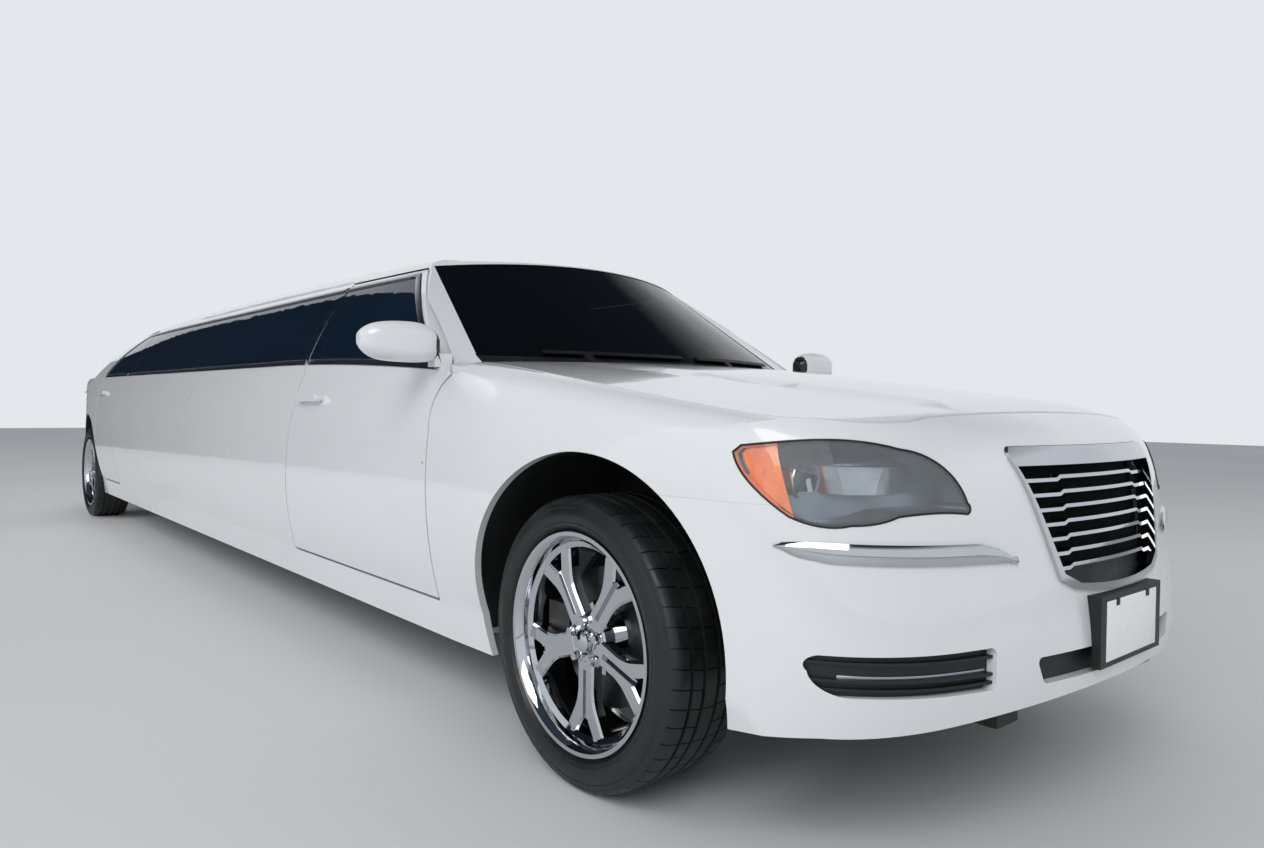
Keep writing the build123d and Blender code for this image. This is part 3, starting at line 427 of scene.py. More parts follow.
def bevel(obj: bpy.types.Object, width: float, segments: int = 2, angle: float = 35.0) -> bpy.types.Object:
    """Rounds the sharp edges of a piece."""
    return modify(
        obj, "BEVEL", width=width, segments=segments, limit_method="ANGLE", angle_limit=math.radians(angle),
    )


def smooth(obj: bpy.types.Object, angle: float = 40.0) -> bpy.types.Object:
    """Shades a piece smooth except at its sharp edges."""
    take(obj)
    bpy.ops.object.shade_smooth_by_angle(angle=math.radians(angle))
    return obj


def evened(obj: bpy.types.Object, angle: float = 30.0) -> bpy.types.Object:
    """Shades a panel smooth, with its large faces ruling the normals at their edges."""
    smooth(obj, angle)
    return modify(obj, "WEIGHTED_NORMAL", keep_sharp=True, weight=60)


def outward(obj: bpy.types.Object) -> bpy.types.Object:
    """Merges doubles and turns the faces outwards."""
    take(obj)
    bpy.ops.object.mode_set(mode="EDIT")
    bpy.ops.mesh.select_all(action="SELECT")
    bpy.ops.mesh.remove_doubles(threshold=0.00005)
    bpy.ops.mesh.normals_make_consistent(inside=False)
    bpy.ops.object.mode_set(mode="OBJECT")
    return obj


def dress(obj: bpy.types.Object, finish: Finish, body: str) -> bpy.types.Object:
    """Gives a finished piece its material and the body that it rides on."""
    obj.data.materials.clear()
    obj.data.materials.append(finish.material())
    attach(obj, body)
    LOG.info("%s rides on %s", obj.name, body)
    return obj


def block(name: str, low: Point, high: Point, round_by: float = 0.004) -> bpy.types.Object:
    """Starts a piece as a cube between two corners and rounds its edges."""
    deselect()
    middle = [(a + b) / 2 for a, b in zip(low, high)]
    bpy.ops.mesh.primitive_cube_add(size=1, location=middle)
    obj = started(name)
    obj.scale = [abs(b - a) for a, b in zip(low, high)]
    settle(obj)
    return bevel(obj, round_by, 3)


def lathe(
    name: str, profile: Sequence[Flat], centre: Point, sign: int, steps: int = 64,
) -> bpy.types.Object:
    """Spins a closed profile about an axis along y.

    Args:
        name: the piece's name.
        profile: points as (radius, distance outwards along y).
        centre: a point on the axis.
        sign: the side of the vehicle that outwards means.
        steps: faces round the circle.

    Returns:
        The new piece, at rest in its place.
    """
    deselect()
    bpy.ops.mesh.primitive_circle_add(vertices=len(profile), fill_type="NOTHING")
    obj = started(name)
    for vertex, (radius, out) in zip(obj.data.vertices, profile):
        vertex.co = (radius, sign * out, 0.0)
    bpy.ops.object.mode_set(mode="EDIT")
    bpy.ops.mesh.select_all(action="SELECT")
    bpy.ops.mesh.spin(steps=steps, angle=math.tau, center=(0, 0, 0), axis=(0, 1, 0))
    bpy.ops.object.mode_set(mode="OBJECT")
    outward(obj)
    obj.location = centre
    return settle(obj)


def sheet(name: str, across: int, along: int, place: Callable[[float, float], Vector]) -> bpy.types.Object:
    """Starts a piece as a grid and lays each of its points.

    Args:
        name: the piece's name.
        across: how many faces lie across it.
        along: how many faces lie along it.
        place: gives the point for two shares from nought to one, across and along.

    Returns:
        The open sheet.
    """
    deselect()
    bpy.ops.mesh.primitive_grid_add(x_subdivisions=across, y_subdivisions=along, size=1)
    obj = started(name)
    for vertex in obj.data.vertices:
        vertex.co = place(vertex.co.x + 0.5, vertex.co.y + 0.5)
    return obj


def joined(name: str, pieces: Iterable[bpy.types.Object]) -> bpy.types.Object:
    """Joins pieces into one mesh under a new name."""
    pieces = list(pieces)
    deselect()
    for piece in pieces:
        piece.select_set(True)
    bpy.context.view_layer.objects.active = pieces[0]
    if len(pieces) > 1:
        bpy.ops.object.join()
    return started(name)


class Skin:
    """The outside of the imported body, asked for points by rays."""

    def __init__(self, nodes: Iterable[bpy.types.Object]) -> None:
        """Gathers the nodes' faces into one tree.

        Args:
            nodes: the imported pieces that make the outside.
        """
        vertices: list[Vector] = []
        faces: list[tuple[int, ...]] = []
        for node in nodes:
            base = len(vertices)
            vertices.extend(v.co.copy() for v in node.data.vertices)
            faces.extend(tuple(base + i for i in face.vertices) for face in node.data.polygons)
        self.tree = BVHTree.FromPolygons(vertices, faces)

    def limit(self, z: float) -> float:
        """How far out the flank itself reaches at a height, so that mirrors are passed by."""
        return 0.896 if z > 1.04 else 1.2

    def side(self, x: float, z: float, side: Side) -> tuple[Vector, Vector]:
        """Point and normal of the flank at a place seen from the side."""
        way = side.value
        for step in (0.0, -0.012, 0.012, -0.024, 0.024):
            start = Vector((x + step, 1.6 * way, z))
            hit, normal, _, _ = self.tree.ray_cast(start, Vector((0, -way, 0)), 1.2)
            while hit is not None and abs(hit.y) > self.limit(z):
                hit, normal, _, _ = self.tree.ray_cast(
                    hit - Vector((0, way * 0.0005, 0)), Vector((0, -way, 0)), 1.2,
                )
            if hit is not None:
                if normal.y * way < 0:
                    normal = -normal
                return Vector((x, hit.y, z)), normal
        return Vector((x, 0.85 * way, z)), Vector((0, way, 0))

    def front(self, y: float, z: float) -> tuple[Vector, Vector]:
        """Point and normal of the nose at a place seen from the front."""
        hit, normal, _, _ = self.tree.ray_cast(Vector((6.0, y, z)), Vector((-1, 0, 0)), 4.0)
        if hit is None:
            return Vector((4.2, y, z)), Vector((1, 0, 0))
        return hit, normal if normal.x > 0 else -normal

    def above(self, x: float, y: float) -> tuple[Vector, Vector]:
        """Point and normal of the top at a place seen from above."""
        hit, normal, _, _ = self.tree.ray_cast(Vector((x, y, 3.0)), Vector((0, 0, -1)), 3.0)
        if hit is None:
            return Vector((x, y, 1.0)), Vector((0, 0, 1))
        return hit, normal if normal.z > 0 else -normal


def ribbon(
    name: str, points: Sequence[Vector], normals: Sequence[Vector], width: float, height: float,
    sink: float = 0.001,
) -> bpy.types.Object:
    """A strip of trim with rounded edges that follows a line on the body.

    Args:
        name: the piece's name.
        points: the line on the surface.
        normals: the surface's normal at each point.
        width: how wide the strip is.
        height: how far it stands proud.
        sink: how far its back lies in the surface.

    Returns:
        The closed strip.
    """
    count = len(points) - 1
    rails: list[tuple[Vector, Vector]] = []
    for i, (point, normal) in enumerate(zip(points, normals)):
        ahead = points[min(i + 1, count)] - points[max(i - 1, 0)]
        across = normal.cross(ahead).normalized() * (width / 2)
        rails.append((point - across - normal * sink, point + across - normal * sink))

    def place(u: float, v: float) -> Vector:
        """Point on the strip's back."""
        low, high = rails[round(v * count)]
        return low.lerp(high, u)

    strip = sheet(name, 1, count, place)
    outward(strip)
    face = strip.data.polygons[len(strip.data.polygons) // 2]
    if face.normal.dot(normals[len(normals) // 2]) < 0:
        strip.data.flip_normals()
    modify(strip, "SOLIDIFY", thickness=height + sink, offset=1.0)
    bevel(strip, min(width, height) * 0.3, 2, 50)
    return smooth(strip, 50)


def walk(corners: Sequence[Flat], step: float) -> list[Flat]:
    """Divides a line of straight runs into points about one step apart."""
    found = [corners[0]]
    for (x0, z0), (x1, z1) in zip(corners, corners[1:]):
        parts = max(1, round(math.hypot(x1 - x0, z1 - z0) / step))
        found += [(x0 + (x1 - x0) * i / parts, z0 + (z1 - z0) * i / parts) for i in range(1, parts + 1)]
    return found


def arc(start: Flat, middle: Flat, end: Flat, parts: int) -> list[Flat]:
    """Points of the circle through three points, from the first to the last."""
    (ax, ay), (bx, by), (cx, cy) = start, middle, end
    d = 2 * (ax * (by - cy) + bx * (cy - ay) + cx * (ay - by))
    ux = ((ax**2 + ay**2) * (by - cy) + (bx**2 + by**2) * (cy - ay) + (cx**2 + cy**2) * (ay - by)) / d
    uy = ((ax**2 + ay**2) * (cx - bx) + (bx**2 + by**2) * (ax - cx) + (cx**2 + cy**2) * (bx - ax)) / d
    radius = math.hypot(ax - ux, ay - uy)
    a0, a1, a2 = (math.atan2(y - uy, x - ux) for x, y in (start, middle, end))
    turn = (a2 - a0) % math.tau
    if (a1 - a0) % math.tau > turn:
        turn -= math.tau
    return [
        (ux + radius * math.cos(a0 + turn * i / parts), uy + radius * math.sin(a0 + turn * i / parts))
        for i in range(parts + 1)
    ]


@dataclass
class PackedBody:
    """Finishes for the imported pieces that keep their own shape."""

    finishes: dict[str, Finish] = field(
        default_factory=lambda: {
            "white_paint": PAINT,
            "tinted_glass": SIDE_GLASS_TINT_AND_PAINTED_SKY,
            # side glass colour: real dark tint with a painted sky reflection
            "chrome": CHROME,
            "tyre": TYRE,
            "lamp_clear": REFLECTOR,
            "lamp_red": RED,
            "leather": LEATHER,
            "black_plastic": BLACK_PLASTIC,
            "dark_trim": CARPET,
            "steel": CHASSIS,
            "plate_white": PLATE,
        }
    )

    def dress(self, frame: dict) -> None:
        """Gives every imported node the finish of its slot."""
        slots = {row["node"]: row["material_slot"] for row in frame["record"]["subparts"]}
        for name, node in frame["nodes"].items():
            finish = self.finishes[slots[name]]
            if name in ("windshield", "rear_glass"):
                # the screens' near black colour is painted shade of the cabin
                finish = SCREEN_GLASS_PAINTED_SHADE
            if name.startswith("knuckle"):
                finish = CAST_IRON
            if name.endswith("_plate"):
                finish = BLACK_PLASTIC
            if name in ("dashboard", "partition"):
                finish = DOOR_TRIM
            node.data.materials.clear()
            node.data.materials.append(finish.material())
            take(node)
            bpy.ops.object.shade_smooth_by_angle(angle=math.radians(28))


@dataclass
class Panels:
    """Smooth merged copies of the painted and glazed panels, with their linings."""

    lining_reach: float = 0.35
    painted: tuple[str, ...] = (
        "boot_lid",
        "front_bumper",
        "front_fender_left",
        "front_fender_right",
        "hood",
        "rear_bumper",
        "rear_quarter_left",
        "rear_quarter_right",
    )
    lined: tuple[str, ...] = (
        "body_side_left",
        "body_side_right",
        "front_door_left",
        "front_door_right",
        "rear_door_left",
        "rear_door_right",
        "roof",
    )
    glazed: tuple[str, ...] = (
        "front_door_glass_left",
        "front_door_glass_right",
        "rear_door_glass_left",
        "rear_door_glass_right",
        "stretch_glass_left",
        "stretch_glass_right",
        "windshield",
        "rear_glass",
    )

    def inner(self, face: bpy.types.MeshPolygon) -> bool:
        """Whether a face looks into the cabin."""
        centre, normal = face.center, face.normal
        if centre.z > 1.35 and normal.z < -0.3:
            return True
        return centre.y * normal.y < -0.001 and abs(normal.y) > self.lining_reach and abs(centre.y) < 0.90

    def mirror_foot(self, face: bpy.types.MeshPolygon) -> bool:
        """Whether a face belongs to the door mirror's arm."""
        spot = face.center
        low = abs(spot.x - FRONT_AXLE + 0.792) < 0.03 and 1.085 < spot.z < 1.157
        return low and 0.874 < abs(spot.y) < 0.9155

    def build(self, frame: dict) -> None:
        """Replaces each panel by its smooth copy."""
        bodies = {
            node: body
            for body, nodes in frame["record"]["behaviour"]["bodies"].items()
            for node in nodes
        }
        for name in self.painted + self.lined + self.glazed:
            copy = CopyOfNode(frame["nodes"][name], f"{name}_panel").piece
            finish = PAINT
            if name in self.glazed:
                # glass colours hold painted light: shade in the screens, a sky reflection in the sides
                finish = SCREEN_GLASS_PAINTED_SHADE if name in ("windshield", "rear_glass") else SIDE_GLASS_TINT_AND_PAINTED_SKY
            slot = "tinted_glass" if name in self.glazed else "white_paint"
            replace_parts(dress(evened(copy), finish, bodies[name]), name)
            if name in self.lined:
                trimmed(copy, HEADLINING if name == "roof" else DOOR_TRIM, self.inner)
            if name.startswith("front_door") and name in self.lined:
                trimmed(copy, GLOSS_BLACK, self.mirror_foot)


@dataclass
class WindowTrim:
    """Bright strips along the window band and the black seals between its panes, one set a side."""

    strip: float = 0.024
    proud: float = 0.004
    step: float = 0.06
    front_cut: float = FRONT_AXLE - 1.955
    rear_cut: float = REAR_AXLE + 1.089
    gap: float = 0.014
    mirror_zone: Flat = (FRONT_AXLE - 0.90, FRONT_AXLE - 0.765)

    def outline(self) -> tuple[list[Flat], list[Flat]]:
        """The band's top line and belt line from the front corner to the rear corner."""
        corner = (FRONT_AXLE - 0.785, 1.060)
        top = arc(corner, (FRONT_AXLE - 1.075, 1.247), (FRONT_AXLE - 1.356, 1.427), 16)
        top += walk([top[-1], (REAR_AXLE + 0.88, 1.429)], self.step)[1:]
        top += arc(top[-1], (REAR_AXLE + 0.575, 1.339), (REAR_AXLE + 0.285, 1.132), 14)[1:]
        belt = arc(corner, (FRONT_AXLE - 1.45, 1.094), (FRONT_AXLE - 2.3, 1.112), 20)
        belt += walk([belt[-1], (REAR_AXLE + 0.285, 1.132)], self.step)[1:]
        return top, belt

    def spans(self, line: list[Flat]) -> list[tuple[str, list[Flat]]]:
        """Cuts a line where the doors part from the side."""
        front_end = self.front_cut
        rear_start = self.rear_cut
        half = self.gap / 2

        def run(low: float, high: float) -> list[Flat]:
            """The line's points between two places, with its ends cut there."""
            inner = [p for p in line if low < p[0] < high]
            ends = []
            for edge in (high, low):
                for (x0, z0), (x1, z1) in zip(line, line[1:]):
                    if min(x0, x1) <= edge <= max(x0, x1) and x0 != x1:
                        ends.append((edge, z0 + (z1 - z0) * (edge - x0) / (x1 - x0)))
                        break
                else:
                    ends.append(None)
            found = inner
            if ends[0]:
                found = [ends[0]] + found
            if ends[1]:
                found = found + [ends[1]]
            return found

        return [
            ("front_door", run(front_end + half - 0.012, 9.0)),
            ("stretch", run(rear_start + half, front_end - half - 0.012)),
            ("rear_door", run(-9.0, rear_start - half)),
        ]

    def past_mirror(self, hits: list[tuple[Vector, Vector]]) -> list[tuple[Vector, Vector]]:
        """Carries a line straight on behind the door mirror, whose foot stands in the rays' way."""
        low, high = self.mirror_zone
        held = [i for i, (point, _) in enumerate(hits) if low < point.x < high]
        if not held:
            return hits
        before, after = max(held[0] - 1, 0), min(held[-1] + 1, len(hits) - 1)
        found = list(hits)
        for i in held:
            share = (i - before) / max(after - before, 1)
            y = hits[before][0].y + (hits[after][0].y - hits[before][0].y) * share
            normal = hits[before][1].lerp(hits[after][1], share)
            found[i] = (Vector((hits[i][0].x, y, hits[i][0].z)), normal.normalized())
        return found

    def build(self, skin: Skin) -> None:
        """Lays the strips on both sides."""
        top, belt = self.outline()
        for side in Side:
            word = side.name.lower()
            for line_name, line in (("top", top), ("belt", belt)):
                for part, span in self.spans(line):
                    body = "body" if part == "stretch" else f"{part}_{word}"
                    hits = self.past_mirror([skin.side(x, z, side) for x, z in span])
                    name = f"window_{line_name}_trim_{part}_{word}"
                    strip = ribbon(name, [h[0] for h in hits], [h[1] for h in hits], self.strip, self.proud)
                    dress(strip, BRIGHT_TRIM, body)


@dataclass
class Tyre:
    """Low tyre with four round grooves, cross cuts on its ribs and a ribbed sidewall."""

    radius: float = 0.3606
    bead: float = 0.2545
    groove: float = 0.0075
    steps: int = 300
    pitch: int = 6
    sipe: float = math.radians(0.5)
    slant: float = 0.045
    cut_depth: float = 0.005

    def profile(self) -> list[Flat]:
        """Closed section as (radius, distance outwards)."""
        r = self.radius
        deep = r - self.groove
        half_tread = [(r, 0.016), (r, 0.0175), (deep, 0.019), (deep, 0.026), (r - 0.0002, 0.0275)]
        half_tread += [
            (r - 0.0004, 0.056), (deep - 0.0004, 0.0575), (deep - 0.0004, 0.0645), (r - 0.0006, 0.066),
        ]
        half_tread += [(r - 0.001, 0.09), (r - 0.0035, 0.104), (r - 0.010, 0.1125)]
        half_wall = [
            (0.345, 0.1150), (0.343, 0.1150), (0.333, 0.1205), (0.3315, 0.1195), (0.320, 0.1238),
            (0.308, 0.1248),
        ]
        half_wall += [
            (0.296, 0.1225), (0.2945, 0.1238), (0.286, 0.1195), (0.284, 0.1205), (0.2755, 0.1085),
            (0.2735, 0.1045),
        ]
        half_wall += [(self.bead, 0.1038), (self.bead, 0.084), (0.270, 0.092)]
        half_inner = [(0.312, 0.111), (0.340, 0.097), (0.346, 0.05)]
        near = half_tread + half_wall + half_inner
        far = [(radius, -out) for radius, out in reversed(near)]
        return near + far

    def number(self, spot: Vector) -> float:
        """Which sector of the tyre a place lies in, counted round from the front."""
        return (math.atan2(spot.z, spot.x) % math.tau) / math.tau * self.steps

    def lay_sectors(self, tyre: bpy.types.Object, centre: Vector) -> None:
        """Makes every first sector of a pitch narrow and slants them across the tread."""
        sector = math.tau / self.steps
        wide = (self.pitch * sector - self.sipe) / (self.pitch - 1)
        for vertex in tyre.data.vertices:
            spot = vertex.co - centre
            whole, part = divmod(round(self.number(spot)) % self.steps, self.pitch)
            angle = whole * self.pitch * sector + (self.sipe + (part - 1) * wide if part else 0.0)
            angle += self.slant * max(0.0, abs(spot.y) - 0.02) / 0.09
            radius = math.hypot(spot.x, spot.z)
            vertex.co = centre + Vector((radius * math.cos(angle), spot.y, radius * math.sin(angle)))

    def build(self, end: str, side: Side) -> None:
        """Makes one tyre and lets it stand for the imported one."""
        x = FRONT_AXLE if end == "front" else REAR_AXLE
        name = f"{end}_{side.name.lower()}"
        centre = Vector((x, side.value * WHEEL_Y, WHEEL_Z))
        tyre = lathe(f"tread_{name}", self.profile(), tuple(centre), side.value, self.steps)
        worn = self.radius - 0.002

        def cut(face: bpy.types.MeshPolygon) -> bool:
            """Whether a face of the tread is pressed in as a cross cut."""
            spot = face.center - centre
            out, radius = abs(spot.y), math.hypot(spot.x, spot.z)
            number = int(self.number(spot))
            if out < 0.0565:
                step = self.pitch * (2 if out < 0.017 else 1)
                return radius > worn and (out < 0.017 or out > 0.0275) and number % step == 0
            return 0.066 < out < 0.113 and radius > self.radius - 0.011 and number % self.pitch == 0

        pick_faces(tyre, cut)
        bpy.ops.object.mode_set(mode="OBJECT")
        chosen = [face.index for face in tyre.data.polygons if face.select]
        self.lay_sectors(tyre, centre)
        picked = set(chosen)
        pick_faces(tyre, lambda face: face.index in picked)
        bpy.ops.mesh.extrude_region_shrink_fatten(TRANSFORM_OT_shrink_fatten={"value": -self.cut_depth})
        bpy.ops.object.mode_set(mode="OBJECT")
        smooth(tyre, 32)
        body = f"wheel_{name}"
        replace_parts(dress(tyre, TYRE, body), f"tyre_{name}")


@dataclass
class WheelDress:
    """The rim's finish and a wheel's small parts: valve, cap ring and polished stud seats."""

    nut_ring: float = 0.052
    valve_ring: float = 0.236
    valve_y: float = 0.058
    count: int = 5

    def rim(self, frame: dict, name: str, centre: Point) -> None:
        """Smooth copy of the wheel with its brake disc in cast iron."""
        node = f"wheel_{name}"
        rim = evened(CopyOfNode(frame["nodes"][node], f"rim_{name}").piece, 32)
        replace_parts(dress(rim, CHROME, node), node)

        def disc(face: bpy.types.MeshPolygon) -> bool:
            """Whether a face belongs to the brake disc."""
            spot = face.center - Vector(centre)
            out = spot.y * math.copysign(1, centre[1])
            return -0.0215 < out < 0.0125 and math.hypot(spot.x, spot.z) < 0.178

        trimmed(rim, CAST_IRON, disc)

    def build(self, frame: dict, end: str, side: Side) -> None:
        """Adds the small parts to one wheel."""
        x = FRONT_AXLE if end == "front" else REAR_AXLE
        name = f"{end}_{side.name.lower()}"
        centre = (x, side.value * WHEEL_Y, WHEEL_Z)
        self.rim(frame, name, centre)
        ring = [(0.0312, 0.0775), (0.0352, 0.0775), (0.0358, 0.0795), (0.034, 0.0822), (0.0312, 0.081)]
        pieces = [lathe("cap_ring", ring, centre, side.value, 48)]
        for index in range(self.count):
            turn = math.radians(-90 + 360 / self.count * (index + 0.5))
            place = (
                x + self.nut_ring * math.cos(turn), centre[1], WHEEL_Z + self.nut_ring * math.sin(turn),
            )
            seat = [
                (0.0115, 0.0775), (0.0155, 0.0775), (0.0158, 0.0788), (0.0135, 0.0808), (0.0115, 0.0802),
            ]
            pieces.append(lathe("stud_seat", seat, place, side.value, 24))
        bright = smooth(joined(f"wheel_brights_{name}", pieces), 40)
        dress(bright, CHROME, f"wheel_{name}")
        turn = math.radians(-90 + 36)
        stem = [
            (0.0, 0.0), (0.0042, 0.0), (0.0045, 0.016), (0.0036, 0.0175), (0.0036, 0.026), (0.0, 0.0268),
        ]
        place = (
            x + self.valve_ring * math.cos(turn), centre[1] + side.value * self.valve_y,
            WHEEL_Z + self.valve_ring * math.sin(turn),
        )
        valve = lathe(f"valve_{name}", stem[1:] + [(0.0004, 0.0268), (0.0004, 0.0)], place, side.value, 20)
        dress(smooth(valve, 40), SEAL, f"wheel_{name}")


def tree_of(obj: bpy.types.Object) -> BVHTree:
    """A search tree of one piece's faces."""
    mesh = obj.data
    return BVHTree.FromPolygons([v.co for v in mesh.vertices], [tuple(f.vertices) for f in mesh.polygons])


def discard(obj: bpy.types.Object | None) -> None:
    """Removes a piece that nothing needs."""
    if obj:
        take(obj)
        bpy.ops.object.delete()


def trimmed(
    obj: bpy.types.Object, finish: Finish, wanted: Callable[[bpy.types.MeshPolygon], bool],
) -> bpy.types.Object:
    """Gives some faces of a piece a second finish."""
    obj.data.materials.append(finish.material())
    slot = len(obj.data.materials) - 1
    for face in obj.data.polygons:
        if wanted(face):
            face.material_index = slot
    return obj


class CopyOfNode:
    """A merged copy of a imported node, split into pieces by what its faces show."""

    def __init__(self, node: bpy.types.Object, name: str) -> None:
        """Copies the node's mesh and merges its loose triangles.

        Args:
            node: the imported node.
            name: the copy's name.
        """
        deselect()
        node.select_set(True)
        bpy.context.view_layer.objects.active = node
        bpy.ops.object.duplicate()
        self.piece = started(name)
        bpy.ops.mesh.customdata_custom_splitnormals_clear()
        self.piece.parent = None
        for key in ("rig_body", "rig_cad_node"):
            if key in self.piece:
                del self.piece[key]
        bpy.ops.object.mode_set(mode="EDIT")
        bpy.ops.mesh.select_all(action="SELECT")
        bpy.ops.mesh.remove_doubles(threshold=0.00005)
        bpy.ops.object.mode_set(mode="OBJECT")

    def split(self, name: str, wanted: Callable[[bpy.types.MeshPolygon], bool]) -> bpy.types.Object | None:
        """Takes the wanted faces off into a piece of their own.

        Args:
            name: the new piece's name.
            wanted: says for one face whether it goes.

        Returns:
            The new piece, or nothing where no face is wanted.
        """
        if not pick_faces(self.piece, wanted):
            bpy.ops.object.mode_set(mode="OBJECT")
            return None
        bpy.ops.mesh.separate(type="SELECTED")
        bpy.ops.object.mode_set(mode="OBJECT")
        new = next(o for o in bpy.context.selected_objects if o != self.piece)
        new.name = name
        new.data.name = name
        return new


@dataclass
class Headlamps:
    """Clear cover with a dark rim, lit tub, projector, reflector and amber block of both headlamps."""

    cover_thick: float = 0.003
    lid_gap: float = 0.012
    projector: Flat = (0.790, 0.795)
    ball_x: float = FRONT_AXLE + 0.516
    amber_end: Point = (FRONT_AXLE + 0.565, 0.0, 0.792)
    amber_way: Point = (0.949, 0.0, 0.316)
    amber_depth: float = 0.005
    projector_at: Point = (FRONT_AXLE + 0.509, 0.747, 0.793)
    ball_r: float = 0.0335
    barrel_r: float = 0.0445
    barrel_back: float = FRONT_AXLE + 0.47
    rim_radius: float = 0.0022

    def build(self, frame: dict, skin: Skin) -> None:
        """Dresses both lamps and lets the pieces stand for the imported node."""
        copy = CopyOfNode(frame["nodes"]["headlamps"], "headlamp_tubs")
        tree = tree_of(copy.piece)
        ahead = Vector((1, 0, 0))

        def cover(face: bpy.types.MeshPolygon) -> bool:
            """Whether a face lies on the cover's outside."""
            return face.normal.x > 0.05 and tree.ray_cast(
                face.center + ahead * 0.0006, ahead, 0.6,
            )[0] is None

        covers = copy.split("headlamp_covers", cover)
        outer = tree_of(covers)

        def lid(face: bpy.types.MeshPolygon) -> bool:
            """Whether a face is the cover's inside."""
            return face.normal.x < -0.05 and outer.find_nearest(face.center, self.lid_gap)[0] is not None

        discard(copy.split("headlamp_lids", lid))
        y, z = self.projector

        def near(face: bpy.types.MeshPolygon) -> float:
            """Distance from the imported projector's axis."""
            return math.hypot(abs(face.center.y) - y, face.center.z - z)

        eye = Vector((self.ball_x, y, z))

        def ball(face: bpy.types.MeshPolygon) -> bool:
            """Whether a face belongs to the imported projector's ball."""
            spot = Vector((face.center.x, abs(face.center.y), face.center.z))
            return (spot - eye).length < self.ball_r and near(face) < self.ball_r + 0.001

        discard(copy.split("headlamp_balls", ball))
        discard(
            copy.split(
                "headlamp_barrels", lambda f: near(f) < self.barrel_r and f.center.x > self.barrel_back,
            )
        )
        self.projectors()
        rows: tuple[tuple[str, Callable[[bpy.types.MeshPolygon], bool], Finish], ...] = (
            ("headlamp_reflectors", self.in_bowl, REFLECTOR),
            # the amber block carries a painted glow
            ("headlamp_ambers", self.in_amber, AMBER_PAINTED_GLOW),
        )
        for name, wanted, finish in rows:
            piece = copy.split(name, wanted)
            if piece:
                dress(smooth(piece, 35), finish, "body")
        self.amber_lens(covers)
        self.rim_line(covers)
        modify(covers, "SOLIDIFY", thickness=self.cover_thick, offset=-1.0)
        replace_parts(dress(smooth(covers, 40), LENS, "body"), "headlamps")
        dress(smooth(copy.piece, 30), LAMP_TUB, "body")

    def projectors(self) -> None:
        """Ringed barrel and thick lens of the main beam in both lamps."""
        shapes: tuple[tuple[str, list[Flat], Finish], ...] = (
            (
                "barrels",
                [
                    (0.036, 0.0), (0.043, 0.0), (0.043, 0.052), (0.0405, 0.056), (0.037, 0.054),
                    (0.036, 0.03),
                ],
                CHROME,
            ),
            ("gaskets", [(0.030, 0.034), (0.0358, 0.034), (0.0358, 0.040), (0.031, 0.043)], SEAL),
            (
                "lenses",
                [
                    (0.0004, 0.02), (0.031, 0.02), (0.031, 0.034), (0.024, 0.044), (0.012, 0.0505),
                    (0.0004, 0.0515),
                ],
                # the lens colour is painted shade
                PROJECTOR_PAINTED_SHADE,
            ),
        )
        x, y, z = self.projector_at
        for name, profile, finish in shapes:
            pieces = []
            for side in Side:
                piece = lathe("projector", profile, (0.0, 0.0, 0.0), 1, 48)
                piece.rotation_euler = (0, 0, -math.pi / 2)
                piece.location = (x, side.value * y, z)
                pieces.append(settle(piece))
            whole = outward(joined(f"headlamp_projector_{name}", pieces))
            dress(smooth(whole, 35), finish, "body")

    def rim_line(self, covers: bpy.types.Object) -> None:
        """Black seal round the edge of both covers."""
        take(covers)
        bpy.ops.object.duplicate()
        started("headlamp_rims")
        bpy.ops.object.mode_set(mode="EDIT")
        bpy.ops.mesh.select_all(action="SELECT")
        bpy.ops.mesh.region_to_loop()
        bpy.ops.mesh.duplicate()
        bpy.ops.mesh.select_mode(type="VERT")
        bpy.ops.mesh.select_all(action="INVERT")
        bpy.ops.mesh.delete(type="VERT")
        bpy.ops.object.mode_set(mode="OBJECT")
        bpy.ops.object.convert(target="CURVE")
        rim = bpy.context.active_object
        rim.data.bevel_depth = self.rim_radius
        rim.data.bevel_resolution = 1
        bpy.ops.object.convert(target="MESH")
        rim = started("headlamp_rims")
        dress(smooth(rim, 60), SEAL, "body")

    def amber_lens(self, covers: bpy.types.Object) -> None:
        """Fluted amber lens under the outer end of both covers."""
        take(covers)
        bpy.ops.object.duplicate()
        lens = started("headlamp_amber_lenses")
        bpy.ops.object.mode_set(mode="EDIT")
        bpy.ops.mesh.select_all(action="SELECT")
        bpy.ops.mesh.bisect(plane_co=self.amber_end, plane_no=self.amber_way, clear_outer=True)
        bpy.ops.mesh.select_all(action="SELECT")
        bpy.ops.transform.shrink_fatten(value=-self.amber_depth)
        bpy.ops.object.mode_set(mode="OBJECT")
        modify(lens, "SOLIDIFY", thickness=0.002, offset=-1.0)
        # the amber lens glows faintly with painted light
        dress(smooth(lens, 40), AMBER_PAINTED_GLOW, "body")

    @staticmethod
    def in_bowl(face: bpy.types.MeshPolygon) -> bool:
        """Whether a face belongs to the square reflector."""
        centre = face.center
        return 0.574 < abs(centre.y) < 0.746 and 0.769 < centre.z < 0.826 and centre.x > FRONT_AXLE + 0.559

    @staticmethod
    def in_amber(face: bpy.types.MeshPolygon) -> bool:
        """Whether a face belongs to the amber block."""
        centre = face.center
        return 0.821 < abs(centre.y) < 0.843 and 0.739 < centre.z < 0.851 and centre.x < FRONT_AXLE + 0.561


